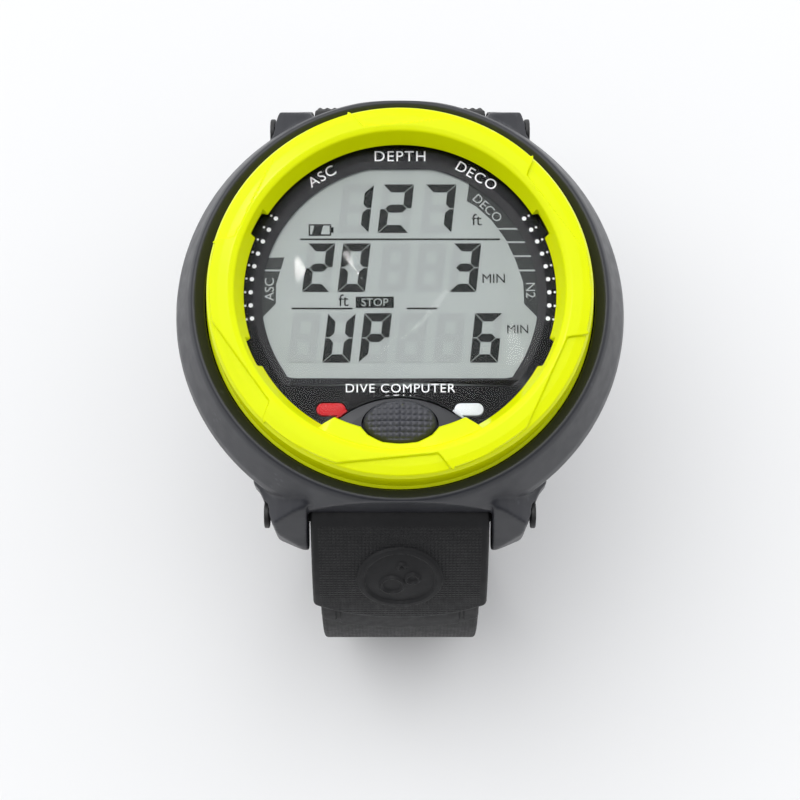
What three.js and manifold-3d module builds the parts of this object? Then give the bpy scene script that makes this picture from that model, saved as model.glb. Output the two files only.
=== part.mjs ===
// A wrist dive computer: a round case with a raised bezel, a segment display behind a flat lens,
// one press button at six o'clock, a battery door in the rear cover, and a two-piece rubber strap
// with a pin buckle. Millimetres. The origin is the centre of the rear face, +Z leaves the display
// towards the reader, +Y points at twelve o'clock.
import * as THREE from "three";
import { mergeVertices } from "three/addons/utils/BufferGeometryUtils.js";
import Module from "manifold-3d";

const wasm = await Module();
wasm.setup();

// ---- driving dimensions -------------------------------------------------------------------

const CASE_RADIUS = 37.5;
const CASE_WIDEST_Z = 6.4;
const COLLAR_FLOOR_Z = 12.9;
const COLLAR_RIM = { radius: 33.9, z: 16 };
const NECK_RADIUS = 29.4;
const NECK_TOP_Z = 17;
const CAVITY_RADIUS = 27.9;
const DIAL_Z = 15.5;
const LENS_TOP_Z = 17.5;
const LENS_THICKNESS = 1.7;
const LENS_RADIUS = 27.3;
const BEZEL_RADIUS = 31.5;
const BEZEL_CREST_RADIUS = 26.8;
const BEZEL_OPENING_RADIUS = 25.3;
const BEZEL_CREST_Z = 21.2;
const BEZEL_BOTTOM_Z = 13.2;
const PANEL_DEPTH = 0.5;
const LIP_NOTCHES = [[21.7, 31], [-28.9, -18.3]];
const GAP = 0.3;

const LUG_INNER_X = 15.1;
const LUG_OUTER_X = 22.3;
const PIN_Y = 33.6;
const PIN_Z = 2.2;
const PIN_RADIUS = 0.9;
const PIN_HEAD = { radius: 2.3, from: 21.5, to: 22.4 };
const KNUCKLE_RADIUS = 3.9;

const BUTTON = { y: -21.65, length: 11.7, width: 7.2, top: 19.4, underside: 15.6, travel: 1.2 };
const BOSS = {
  y: -32.9, radius: 15.6, bottom: 12.9, top: 16.4, floor: 13.9, glandRadius: 1.75, glandBottom: 13.2,
};
const PLUNGER = { radius: 0.9, bottom: 12.15, top: 17, clipBottom: 12.35, clipTop: 12.7 };
const SWITCH = { bottom: 10.45, top: 10.9, half: 2.4 };

const REAR_STEP_RADIUS = 29;
const REAR_COVER = { radius: 28.7, thickness: 2.3, cupRadius: 16.4, cupTop: 9 };
const DOOR = { radius: 14.6, thickness: 1.7, neckRadius: 12.4, neckTop: 2.3 };
const BATTERY = { radius: 12.25, bottom: 2.7, top: 7.6 };
const SCREW = { ring: 25.2, headRadius: 2, shankRadius: 1, headTop: 1.5, tip: 8 };
const POST = { radius: 3, bottom: 3, top: 9.6 };
const BOARD = { radius: 21.7, bottom: 9.3, top: 10.3 };

const PAD_WIDTH = 29.4;
const BAND_WIDTH = 27;
const BAND_THICKNESS = 3.2;
const PAD_THICKNESS = 4.4;
const PAD_END_RADIUS = 26;

const FINE = 56;
const MEDIUM = 32;
const SMALL = 16;

// ---- materials ------------------------------------------------------------------------------

const finish = (color, roughness, metalness = 0) =>
  new THREE.MeshStandardMaterial({ color, roughness, metalness });
const YELLOW = finish(0xe6f000, 0.25);
const CHARCOAL = finish(0x303238, 0.45);
const RUBBER = finish(0x1c1d1f, 0.75);
const SEAL = finish(0x15161a, 0.6);
const PRINT = finish(0x0b0c0e, 0.5);
const DISPLAY = finish(0xafbab7, 0.35);
const CLEAR = new THREE.MeshStandardMaterial({
  color: 0xe8f0f0, roughness: 0.05, transparent: true, opacity: 0.3,
});
const DIFFUSER = finish(0xe9ebe6, 0.6);
const BOARD_GREEN = finish(0x1d5a3a, 0.5);
const CHIP = finish(0x17181a, 0.55);
const STEEL = finish(0xb9bcc0, 0.3, 1);
const BRASS = finish(0xc7a04c, 0.35, 1);
const RED = finish(0xcf1020, 0.4);
const WHITE = finish(0xdfe2e4, 0.4);

// ---- solids ---------------------------------------------------------------------------------

const group = new THREE.Group();

function solid(geometry) {
  const bare = geometry.index ? geometry.toNonIndexed() : geometry.clone();
  bare.deleteAttribute("normal");
  bare.deleteAttribute("uv");
  const merged = mergeVertices(bare, 1e-3);
  return new wasm.Manifold(new wasm.Mesh({
    numProp: 3,
    vertProperties: merged.attributes.position.array,
    triVerts: new Uint32Array(merged.index.array),
  }));
}

function geometryOf(body) {
  const mesh = body.getMesh();
  const geometry = new THREE.BufferGeometry();
  geometry.setAttribute("position", new THREE.BufferAttribute(mesh.vertProperties, 3));
  geometry.setIndex(new THREE.BufferAttribute(mesh.triVerts, 1));
  geometry.computeVertexNormals();
  return geometry;
}

function add(name, body, material) {
  const mesh = new THREE.Mesh(geometryOf(body), material.clone());
  mesh.name = name;
  group.add(mesh);
}

// A body of revolution about Z from [radius, height] points that run anticlockwise.
function turned(points, sides = FINE) {
  const profile = [...points, points[0]].map(([r, z]) => new THREE.Vector2(r, z));
  return solid(new THREE.LatheGeometry(profile, sides).rotateX(Math.PI / 2));
}

const disc = (radius, z0, z1, sides = MEDIUM) =>
  turned([[0, z0], [radius, z0], [radius, z1], [0, z1]], sides);
const ring = (inner, outer, z0, z1, sides = MEDIUM) =>
  turned([[inner, z0], [outer, z0], [outer, z1], [inner, z1]], sides);

const at = (body, x, y, z = 0) => body.translate([x, y, z]);

// A plan outline (x, y) raised from z0 to z1.
function plate(shape, z0, z1, curveSegments = 12) {
  const options = { depth: z1 - z0, bevelEnabled: false, curveSegments };
  return solid(new THREE.ExtrudeGeometry(shape, options).translate(0, 0, z0));
}

// A side outline (y, z) stretched across from x0 to x1.
const ACROSS = new THREE.Matrix4().makeBasis(
  new THREE.Vector3(0, 1, 0), new THREE.Vector3(0, 0, 1), new THREE.Vector3(1, 0, 0));

function across(shape, x0, x1, curveSegments = 12) {
  const options = { depth: x1 - x0, bevelEnabled: false, curveSegments };
  return solid(new THREE.ExtrudeGeometry(shape, options).translate(0, 0, x0).applyMatrix4(ACROSS));
}

// A front outline (x, z) stretched back from y1 to y0.
const BACKWARDS = new THREE.Matrix4().makeBasis(
  new THREE.Vector3(1, 0, 0), new THREE.Vector3(0, 0, 1), new THREE.Vector3(0, -1, 0));

function upright(shape, y0, y1, curveSegments = 8) {
  const options = { depth: y1 - y0, bevelEnabled: false, curveSegments };
  return solid(new THREE.ExtrudeGeometry(shape, options).applyMatrix4(BACKWARDS).translate(0, y1, 0));
}

const box = (x0, x1, y0, y1, z0, z1) =>
  solid(new THREE.BoxGeometry(x1 - x0, y1 - y0, z1 - z0)
    .translate((x0 + x1) / 2, (y0 + y1) / 2, (z0 + z1) / 2));

// A round bar along X through the point (y, z).
const bar = (radius, x0, x1, y, z, sides = SMALL) =>
  solid(new THREE.CylinderGeometry(radius, radius, x1 - x0, sides)
    .rotateZ(Math.PI / 2).translate((x0 + x1) / 2, y, z));

const polygon = (points) => new THREE.Shape(points.map(([a, b]) => new THREE.Vector2(a, b)));

function circle(radius, x = 0, y = 0) {
  const shape = new THREE.Shape();
  shape.absarc(x, y, radius, 0, 2 * Math.PI);
  return shape;
}

function roundedBox(width, height, radius, x = 0, y = 0) {
  const w = width / 2 - radius;
  const h = height / 2 - radius;
  const shape = new THREE.Shape();
  shape.absarc(x + w, y + h, radius, 0, Math.PI / 2);
  shape.absarc(x - w, y + h, radius, Math.PI / 2, Math.PI);
  shape.absarc(x - w, y - h, radius, Math.PI, 1.5 * Math.PI);
  shape.absarc(x + w, y - h, radius, 1.5 * Math.PI, 2 * Math.PI);
  return shape;
}

const mirroredY = (body) => body.mirror([0, 1, 0]);
const mirroredX = (body) => body.mirror([1, 0, 0]);
const degrees = THREE.MathUtils.degToRad;
const onCircle = (radius, angle) => [radius * Math.cos(degrees(angle)), radius * Math.sin(degrees(angle))];
const quarters = [45, 135, 225, 315];

// ---- case -------------------------------------------------------------------------------------

const bossOutline = (margin) => plate(circle(BOSS.radius + margin, 0, BOSS.y), 5, 20, 16);

// The button's oval outline, grown by `margin` all round.
function buttonOutline(margin) {
  const shape = new THREE.Shape();
  shape.absellipse(0, BUTTON.y, BUTTON.length / 2 + margin, BUTTON.width / 2 + margin, 0, 2 * Math.PI);
  return shape;
}

function lug() {
  const side = polygon([
    [-20, -0.4], [-33, -1.6], [-36.9, -3.3], [-38.4, -3.1], [-39, -2.3], [-38.6, -0.4], [-37.6, 1.6],
    [-36.4, 4.6], [-35.2, 7.6], [-34, 10.4], [-20, 12.6],
  ]);
  const plan = polygon([
    [LUG_INNER_X, -18], [LUG_INNER_X, -39.3], [20.2, -37.1], [20.8, -36.3], [22.5, -32],
    [22.7, -31.3], [23.3, -29.7], [24.4, -28.4], [LUG_OUTER_X, -18],
  ].reverse());
  const front = polygon([
    [10, -5], [26, -5], [26, 2], [22.5, 4], [20, 6.8], [17.5, 9.2], [LUG_INNER_X, 11], [10, 13],
  ]);
  return across(side, LUG_INNER_X - 4, LUG_OUTER_X + 4).intersect(plate(plan, -5, 14))
    .intersect(upright(front, -45, -15, 4));
}

function strapPocket() {
  const wall = -PIN_Y - 0.5;
  const slot = box(-LUG_INNER_X, LUG_INNER_X, -50, -PIN_Y, -6, PIN_Z + KNUCKLE_RADIUS + GAP);
  const trim = box(-LUG_INNER_X, LUG_INNER_X, -50, wall, -6, NECK_TOP_Z);
  const socket = bar(KNUCKLE_RADIUS + GAP, -LUG_INNER_X, LUG_INNER_X, -PIN_Y, PIN_Z, MEDIUM);
  const under = box(-LUG_INNER_X, LUG_INNER_X, -50, -PIN_Y + KNUCKLE_RADIUS + GAP, -6, PIN_Z);
  return slot.add(trim).add(socket).add(under);
}

function frontCase() {
  const outside = turned([
    [0, 0.4], [34.6, 0.4], [36.2, 1.8], [37.2, 4.4], [CASE_RADIUS, CASE_WIDEST_Z], [37.1, 8.4], [34.6, 14.9],
    [COLLAR_RIM.radius, COLLAR_RIM.z], [COLLAR_RIM.radius - 0.5, COLLAR_RIM.z - 0.1],
    [31.95, 14.7], [31.95, 13.2], [31.6, COLLAR_FLOOR_Z], [NECK_RADIUS, COLLAR_FLOOR_Z],
    [NECK_RADIUS, NECK_TOP_Z], [0, NECK_TOP_Z],
  ]);
  const cavity = turned([
    [0, -1], [REAR_STEP_RADIUS, -1], [REAR_STEP_RADIUS, 3], [CAVITY_RADIUS, 3], [CAVITY_RADIUS, 13.4],
    [26.9, 13.4], [26.9, DIAL_Z], [28.3, DIAL_Z], [28.3, 20], [0, 20],
  ]);
  const right = lug();
  const pair = right.add(mirroredX(right));
  let body = outside.add(pair).add(mirroredY(pair));
  body = body.subtract(strapPocket()).subtract(mirroredY(strapPocket())).subtract(cavity);
  for (const side of [-1, 1]) {
    body = body.subtract(bar(PIN_RADIUS + GAP, -30, 30, side * PIN_Y, PIN_Z));
    for (const [from, to] of [[PIN_HEAD.from - GAP, 30], [-30, GAP - PIN_HEAD.from]]) {
      body = body.subtract(bar(PIN_HEAD.radius + GAP, from, to, side * PIN_Y, PIN_Z));
    }
  }
  const boss = plate(circle(BOSS.radius, 0, BOSS.y), BOSS.bottom, BOSS.top, 16);
  body = body.add(boss.intersect(disc(28.8, 10, 20, FINE)));
  for (const angle of quarters) {
    const [x, y] = onCircle(SCREW.ring, angle);
    body = body.add(at(disc(POST.radius, POST.bottom, POST.top, SMALL), x, y));
    body = body.subtract(at(disc(SCREW.shankRadius + GAP, 0, SCREW.tip + GAP, SMALL), x, y));
  }
  body = body.subtract(plate(buttonOutline(0.35), BOSS.floor, 20, 16));
  body = body.subtract(at(disc(BOSS.glandRadius, BOSS.glandBottom, 20, SMALL), 0, BUTTON.y));
  return body.subtract(at(disc(PLUNGER.radius + GAP, 10, 20, SMALL), 0, BUTTON.y));
}

// ---- bezel ------------------------------------------------------------------------------------

// The bezel's section, drawn in by `inset` on its outer and upper sides.
function bezelBody(inset) {
  return turned([
    [29.7, BEZEL_BOTTOM_Z], [BEZEL_RADIUS - 0.3 - inset, BEZEL_BOTTOM_Z], [BEZEL_RADIUS - inset, 13.8],
    [BEZEL_RADIUS - inset, 19.1 - inset / 2], [BEZEL_RADIUS - 0.3 - inset, 20.1 - inset / 2],
    [30.7 - inset / 2, 20.8 - inset], [29.4, 21.1 - inset], [28, BEZEL_CREST_Z - inset],
    [27.2, BEZEL_CREST_Z - inset], [BEZEL_CREST_RADIUS, 20.9 - inset],
    [BEZEL_OPENING_RADIUS, LENS_TOP_Z + GAP], [29.7, LENS_TOP_Z + GAP],
  ]);
}

// One of six shallow grip panels, cut in between a chord and the rim.
function gripPanel(angle) {
  const corner = (radius, turn) => onCircle(radius, angle - turn);
  const outline = polygon([
    corner(33, -1), corner(31.3, 0), corner(28.1, 4), corner(30.9, 35), corner(33, 36), corner(37, 17),
  ].reverse());
  return plate(outline, 14.4, 22);
}

// One of four notches in the lip round the window, between two angles.
function lipNotch(from, to) {
  const outline = polygon([
    onCircle(24, from), onCircle(26.4, from), onCircle(26.4, to), onCircle(24, to),
  ]);
  return plate(outline, LENS_TOP_Z, 19.4);
}

function bezel() {
  const ear = plate(polygon([
    [-13.4, -23.6], [-13, -22.2], [-11.9, -22.1], [-10.4, -21.2], [-6.2, -22.8], [-5.1, -24.1],
    [-2.8, -25.2], [0, -25.5], [0, -27.5], [-8, -26.5],
  ].reverse()), LENS_TOP_Z + GAP, 20.2);
  let body = bezelBody(0).add(ear).add(mirroredX(ear));
  const core = bezelBody(PANEL_DEPTH);
  for (let k = 0; k < 6; k++) {
    body = body.subtract(gripPanel(106 - 60 * k).subtract(core));
  }
  for (const [from, to] of LIP_NOTCHES) {
    body = body.subtract(lipNotch(from, to)).subtract(lipNotch(180 - to, 180 - from));
  }
  return body.subtract(plate(buttonOutline(0.35), 16, 22, 16));
}

// ---- display stack -----------------------------------------------------------------------------

function displayOutline(radius, lowerEdge) {
  const half = Math.asin(-lowerEdge / radius);
  const shape = new THREE.Shape();
  shape.absarc(0, 0, radius, -half, Math.PI + half);
  return shape;
}

function dialMask() {
  const window = plate(displayOutline(22.4, -13.7), 14, 16, 16);
  let body = disc(26.4, DIAL_Z - 0.5, DIAL_Z, FINE).subtract(window).subtract(bossOutline(GAP));
  for (const side of [-1, 1]) {
    const slot = roundedBox(5.3, 2.7, 1.35, side * LIGHT.x, LIGHT.y);
    body = body.subtract(plate(slot, 14, 16, 3));
  }
  return body;
}

const LIGHT = { x: 11.1, y: -18.95 };

function lightPipe(side) {
  return plate(roundedBox(4.7, 2.1, 1.05, side * LIGHT.x, LIGHT.y), 13.6, DIAL_Z, 3);
}

function lcdHolder() {
  const outer = disc(26.4, 11, 14.7, FINE).subtract(bossOutline(0.5));
  const pocket = plate(displayOutline(24, -15.6), 12.4, 16, 16);
  const through = plate(displayOutline(22.6, -13.8), 9, 16, 16);
  let body = outer.subtract(pocket).subtract(through);
  for (const side of [-1, 1]) {
    body = body.subtract(plate(roundedBox(5.3, 2.7, 1.35, side * LIGHT.x, LIGHT.y), 13, 16, 3));
  }
  return body;
}

function circuitBoard() {
  const tab = box(-7, 7, -26, -16, BOARD.bottom, BOARD.top);
  return disc(BOARD.radius, BOARD.bottom, BOARD.top, MEDIUM).add(tab);
}

// ---- button ------------------------------------------------------------------------------------

function modeButton() {
  const crown = solid(new THREE.SphereGeometry(1, SMALL, 12)
    .scale(BUTTON.length * 0.72, BUTTON.width * 0.9, 3.6)
    .translate(0, BUTTON.y, BUTTON.top - 3.6));
  const block = plate(buttonOutline(0), BUTTON.underside, BUTTON.top + 1, 16);
  const below = box(-9, 9, BUTTON.y - 6, BUTTON.y + 6, BUTTON.underside - 1, BUTTON.top - 3.6);
  const socket = at(disc(PLUNGER.radius + GAP, BUTTON.underside - 1, PLUNGER.top + GAP, SMALL), 0, BUTTON.y);
  return block.intersect(crown.add(below)).subtract(socket);
}

function buttonSpring() {
  const turns = 2.5;
  const path = new THREE.CatmullRomCurve3(Array.from({ length: 25 }, (_, i) => {
    const angle = (i / 24) * turns * 2 * Math.PI;
    return new THREE.Vector3(
      2 * Math.cos(angle), BUTTON.y + 2 * Math.sin(angle), BOSS.floor + 0.35 + (i / 24) * 1.05);
  }));
  return solid(new THREE.ExtrudeGeometry(circle(0.16), { extrudePath: path, steps: 30, curveSegments: 3 }));
}

// ---- rear cover, battery and door ---------------------------------------------------------------

const SENSOR = { x: 0, y: 20.6 };
const CONTACT = { x: 20.6, radius: 1.5 };

function rearCover() {
  let body = disc(REAR_COVER.radius, 0, REAR_COVER.thickness, FINE)
    .add(disc(REAR_COVER.cupRadius, 1, REAR_COVER.cupTop, MEDIUM));
  body = body.subtract(disc(DOOR.radius + GAP, -1, DOOR.thickness + GAP, MEDIUM));
  body = body.subtract(disc(BATTERY.radius + 1.1, 1, 8.1, MEDIUM));
  for (const angle of quarters) {
    const [x, y] = onCircle(SCREW.ring, angle);
    body = body.subtract(at(disc(SCREW.shankRadius + GAP, -1, 4, SMALL), x, y));
    body = body.subtract(at(disc(SCREW.headRadius + GAP, -1, SCREW.headTop + GAP, SMALL), x, y));
  }
  for (const side of [-1, 1]) {
    body = body.subtract(at(disc(CONTACT.radius + GAP, -1, 4, SMALL), side * CONTACT.x, 0));
    body = body.subtract(at(disc(0.9, 6, 10, SMALL), side * 5, 0));
  }
  for (const step of [-1, 0, 1]) {
    body = body.subtract(at(disc(0.6, -1, 4, 12), SENSOR.x + step * 2, SENSOR.y));
  }
  return body;
}

function batteryDoor() {
  let body = disc(DOOR.radius, 0, DOOR.thickness, MEDIUM)
    .add(disc(DOOR.neckRadius, 1, DOOR.neckTop, MEDIUM));
  for (const side of [-1, 1]) {
    body = body.subtract(plate(roundedBox(2.4, 7, 1.2, side * 9, 0), -1, 0.9, 3));
  }
  return body;
}

function screw(angle) {
  const [x, y] = onCircle(SCREW.ring, angle);
  const head = disc(SCREW.headRadius, 0.3, SCREW.headTop, SMALL);
  const shank = disc(SCREW.shankRadius, 1, SCREW.tip, 16);
  const slot = box(-0.3, 0.3, -1.3, 1.3, 0, 0.9).add(box(-1.3, 1.3, -0.3, 0.3, 0, 0.9));
  return at(head.add(shank).subtract(slot), x, y);
}

function batteryContact(side) {
  const pad = box(-1.4, 1.4, -1.4, 1.4, 7.7, 7.95);
  const stem = disc(0.5, 7.8, 9.2, 12);
  return at(pad.add(stem), side * 5, 0);
}

// ---- strap ---------------------------------------------------------------------------------------

// Walks a line down the outside of the strap. The heading is 0 when it points away from the case,
// 90 when it points down and 180 when it runs back under the wrist; each leg is straight or turns.
function walk(side, start, heading, legs) {
  const points = [];
  let [y, z] = start;
  let angle = heading;
  const note = () => points.push({ y, z, angle });
  note();
  for (const leg of legs) {
    const steps = leg.steps ?? 1;
    for (let i = 0; i < steps; i++) {
      const bend = (leg.turn ?? 0) / steps;
      const length = leg.turn ? 2 * leg.radius * Math.sin(degrees(Math.abs(bend)) / 2) : leg.length / steps;
      const along = degrees(angle + bend / 2);
      y += side * Math.cos(along) * length;
      z -= Math.sin(along) * length;
      angle += bend;
      note();
    }
  }
  return points;
}

// The point `depth` below the outer line, on the wrist's side of it.
function below(side, point, depth) {
  const angle = degrees(point.angle);
  return [point.y - side * Math.sin(angle) * depth, point.z - Math.cos(angle) * depth];
}

// A closed side outline between two depths under a walked line.
function ribbon(side, line, from, to) {
  const outer = line.map((point) => below(side, point, from));
  const inner = line.map((point) => below(side, point, to)).reverse();
  const points = [...outer, ...inner];
  return polygon(side > 0 ? points.reverse() : points);
}

function knuckleStart(side, heading) {
  return below(side, { y: side * PIN_Y, z: PIN_Z, angle: heading }, -KNUCKLE_RADIUS);
}

const LOWER_HEADING = 42;
const LOWER_RADIUS = 45;
const PAD_TURN = 30;
const TAIL = { taperFrom: -16, holes: 7, pitch: 6.2, firstHole: -22 };

function lowerStrap() {
  const side = -1;
  const start = knuckleStart(side, LOWER_HEADING);
  const padLine = walk(side, start, LOWER_HEADING, [{ turn: PAD_TURN, radius: LOWER_RADIUS, steps: 6 }]);
  const bandLine = walk(side, start, LOWER_HEADING, [
    { turn: 90 - LOWER_HEADING, radius: LOWER_RADIUS, steps: 8 },
    { turn: 90, radius: 26, steps: 12 },
    { length: 36 },
    { turn: 28, radius: 30, steps: 4 },
  ]);
  const padEnd = padLine.at(-1).z;
  const sweep = circle(PAD_END_RADIUS, 0, padEnd + PAD_END_RADIUS);
  const pad = across(ribbon(side, padLine, 0, PAD_THICKNESS + 0.6), -PAD_WIDTH / 2, PAD_WIDTH / 2)
    .intersect(upright(sweep, -60, -20, 14));
  const band = across(ribbon(side, bandLine, 1.1, 1.1 + BAND_THICKNESS), -BAND_WIDTH / 2, BAND_WIDTH / 2);
  const tip = bandLine.at(-1);
  const trim = plate(polygon([
    [BAND_WIDTH / 2, TAIL.taperFrom], [20, TAIL.taperFrom], [20, 40], [0, 40], [0, tip.y],
    [6, tip.y - 1], [9.4, tip.y - 4], [11, tip.y - 9],
  ]), -70, -40);
  const knuckle = bar(KNUCKLE_RADIUS, -PAD_WIDTH / 2, PAD_WIDTH / 2, side * PIN_Y, PIN_Z, MEDIUM);
  let body = pad.add(band).add(knuckle).subtract(trim).subtract(mirroredX(trim));
  for (let i = 0; i < TAIL.holes; i++) {
    const y = TAIL.firstHole + i * TAIL.pitch;
    body = body.subtract(plate(roundedBox(5, 2.4, 1.1, 0, y), -70, -50, 2));
  }
  return body.subtract(bar(PIN_RADIUS + GAP, -20, 20, side * PIN_Y, PIN_Z));
}

const UPPER_HEADING = 55;
const UPPER_SLOPE = 90;
const UPPER_BEND_RADIUS = 19;
const UPPER_RUN = 26;
const upperLine = walk(1, knuckleStart(1, UPPER_HEADING), UPPER_HEADING, [
  { turn: UPPER_SLOPE - UPPER_HEADING, radius: UPPER_BEND_RADIUS, steps: 5 },
  { length: UPPER_RUN },
]);
const upperRunStart = upperLine.at(-2);
const runAlong = [Math.cos(degrees(UPPER_SLOPE)), -Math.sin(degrees(UPPER_SLOPE))];

// A point on the straight run: `along` from its start, `depth` under its outer face.
function onRun(along, depth) {
  const [y, z] = below(1, upperRunStart, depth);
  return [y + runAlong[0] * along, z + runAlong[1] * along];
}

const [BUCKLE_Y, BUCKLE_Z] = onRun(UPPER_RUN, 1.1 + BAND_THICKNESS / 2);
const BUCKLE_KNUCKLE = 2.2;
const TONGUE_SLOT = 1.9;

function upperStrap() {
  const rootLine = upperLine.slice(0, -1);
  const root = across(ribbon(1, rootLine, 0, PAD_THICKNESS + 0.6), -PAD_WIDTH / 2, PAD_WIDTH / 2);
  const band = across(ribbon(1, upperLine, 1.1, 1.1 + BAND_THICKNESS), -BAND_WIDTH / 2, BAND_WIDTH / 2);
  const knuckle = bar(KNUCKLE_RADIUS, -PAD_WIDTH / 2, PAD_WIDTH / 2, PIN_Y, PIN_Z, MEDIUM);
  const eye = bar(BUCKLE_KNUCKLE, -BAND_WIDTH / 2, BAND_WIDTH / 2, BUCKLE_Y, BUCKLE_Z);
  const slot = box(-TONGUE_SLOT, TONGUE_SLOT, BUCKLE_Y - 6, BUCKLE_Y + 6, BUCKLE_Z - 5, BUCKLE_Z + 3.4);
  return root.add(band).add(knuckle).add(eye).subtract(slot)
    .subtract(bar(PIN_RADIUS + GAP, -20, 20, PIN_Y, PIN_Z))
    .subtract(bar(PIN_RADIUS + GAP, -20, 20, BUCKLE_Y, BUCKLE_Z));
}

const strapPin = (side) => bar(PIN_RADIUS, -PIN_HEAD.to, PIN_HEAD.to, side * PIN_Y, PIN_Z)
  .add(bar(PIN_HEAD.radius, PIN_HEAD.from, PIN_HEAD.to, side * PIN_Y, PIN_Z))
  .add(bar(PIN_HEAD.radius, -PIN_HEAD.to, -PIN_HEAD.from, side * PIN_Y, PIN_Z));

const KEEPER = { length: 5, wall: 1.3, passage: 3.6 };
const SLIDING_KEEPER_AT = 7;
const FIXED_KEEPER_AT = 15;

// A loop round the strap's straight run, with room over the strap for its free end.
function keeper(along) {
  const edge = BAND_WIDTH / 2 + 0.4;
  const inner = 1.1 + BAND_THICKNESS + 0.4;
  const outer = 1.1 - KEEPER.passage;
  const outline = (wall) => polygon([
    onRun(along, outer - wall), onRun(along + KEEPER.length, outer - wall),
    onRun(along + KEEPER.length, inner + wall), onRun(along, inner + wall),
  ].reverse());
  const opening = polygon([
    onRun(along - 1, outer), onRun(along + KEEPER.length + 1, outer),
    onRun(along + KEEPER.length + 1, inner), onRun(along - 1, inner),
  ].reverse());
  return across(outline(KEEPER.wall), -edge - KEEPER.wall, edge + KEEPER.wall)
    .subtract(across(opening, -edge, edge));
}

const BUCKLE = { armInner: 13.9, armOuter: 16.7, reach: 15, barWidth: 2.8, halfThickness: 1.3 };

function buckleFrame() {
  const y0 = BUCKLE_Y - BUCKLE.halfThickness;
  const y1 = BUCKLE_Y + BUCKLE.halfThickness;
  const low = BUCKLE_Z - BUCKLE.reach;
  let body = box(-BUCKLE.armOuter, BUCKLE.armOuter, y0, y1, low, low + BUCKLE.barWidth);
  for (const side of [-1, 1]) {
    const [x0, x1] = [side * BUCKLE.armInner, side * BUCKLE.armOuter].sort((a, b) => a - b);
    body = body.add(box(x0, x1, y0, y1, low, BUCKLE_Z)).add(bar(BUCKLE_KNUCKLE, x0, x1, BUCKLE_Y, BUCKLE_Z));
  }
  return body.subtract(bar(PIN_RADIUS + GAP, -20, 20, BUCKLE_Y, BUCKLE_Z));
}

function buckleTongue() {
  const face = BUCKLE_Y + BUCKLE.halfThickness + GAP;
  const blade = box(-1.3, 1.3, face, face + 1.2, BUCKLE_Z - BUCKLE.reach - 0.6, BUCKLE_Z);
  const eye = bar(2.4, -1.3, 1.3, BUCKLE_Y, BUCKLE_Z);
  return blade.add(eye).subtract(bar(PIN_RADIUS + GAP, -5, 5, BUCKLE_Y, BUCKLE_Z));
}

// ---- assembly --------------------------------------------------------------------------------------

add("front_case", frontCase(), CHARCOAL);
add("bezel", bezel(), YELLOW);
add("lens", disc(LENS_RADIUS, LENS_TOP_Z - LENS_THICKNESS, LENS_TOP_Z, FINE)
  .subtract(bossOutline(GAP)), CLEAR);
add("lens_gasket", ring(LENS_RADIUS + 0.2, 28.1, DIAL_Z + 0.2, 17.2, FINE)
  .subtract(bossOutline(GAP)), SEAL);
add("dial_mask", dialMask(), PRINT);
add("alarm_light", lightPipe(-1), RED);
add("status_light", lightPipe(1), WHITE);
add("lcd_panel", plate(displayOutline(23.7, -15.3), 12.8, 14.7, 16), DISPLAY);
add("lcd_holder", lcdHolder(), SEAL);
add("backlight_diffuser", plate(displayOutline(22.2, -12), 11.6, 12.5, 14), DIFFUSER);
for (const [name, side] of [["left", -1], ["right", 1]]) {
  add("contact_strip_" + name, box(side * 7 - 5, side * 7 + 5, -13.5, -12.3, 10.6, 12.6), SEAL);
}
add("circuit_board", circuitBoard(), BOARD_GREEN);
add("controller_chip", box(-4, 4, 0, 8, 10.5, 11.3), CHIP);
add("alarm_buzzer", at(disc(5.2, 10.5, 11.3, SMALL), 12.6, 3), BRASS);
add("button_switch", at(box(-SWITCH.half, SWITCH.half, -SWITCH.half, SWITCH.half, SWITCH.bottom, SWITCH.top),
  0, BUTTON.y), STEEL);
add("pressure_sensor", at(disc(2.7, 4.4, 8.8, SMALL), SENSOR.x, SENSOR.y - 0.6), STEEL);
add("pressure_sensor_seal", at(ring(1.9, 2.7, 2.6, 4.1, SMALL), SENSOR.x, SENSOR.y - 0.6), SEAL);
add("mode_button", modeButton(), CHARCOAL);
add("button_plunger", at(disc(PLUNGER.radius, PLUNGER.bottom, PLUNGER.top, SMALL), 0, BUTTON.y), STEEL);
add("button_spring", buttonSpring(), STEEL);
add("button_clip", at(ring(PLUNGER.radius + 0.2, 1.8, PLUNGER.clipBottom, PLUNGER.clipTop, SMALL)
  .subtract(box(0, 3, -0.6, 0.6, 12, 13)), 0, BUTTON.y), STEEL);
add("button_seal", at(ring(PLUNGER.radius + 0.15, BOSS.glandRadius - 0.15,
  BOSS.glandBottom + 0.1, BOSS.floor - 0.1, SMALL), 0, BUTTON.y), SEAL);
add("rear_cover", rearCover(), CHARCOAL);
add("rear_cover_gasket", ring(28.1, 28.7, 2.5, 2.85, FINE), SEAL);
quarters.forEach((angle, i) => add("rear_cover_screw_" + (i + 1), screw(angle), STEEL));
add("battery", disc(BATTERY.radius, BATTERY.bottom, BATTERY.top, MEDIUM), STEEL);
add("battery_door", batteryDoor(), CHARCOAL);
add("battery_door_seal", ring(DOOR.neckRadius + 0.2, BATTERY.radius + 0.8, 1.9, 2.5), SEAL);
add("battery_contact_left", batteryContact(-1), BRASS);
add("battery_contact_right", batteryContact(1), BRASS);
add("water_contact_left", at(disc(CONTACT.radius, 0, 4.2, SMALL), -CONTACT.x, 0), STEEL);
add("water_contact_right", at(disc(CONTACT.radius, 0, 4.2, SMALL), CONTACT.x, 0), STEEL);
add("lower_strap_pin", strapPin(-1), STEEL);
add("upper_strap_pin", strapPin(1), STEEL);
add("lower_strap", lowerStrap(), RUBBER);
add("upper_strap", upperStrap(), RUBBER);
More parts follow.
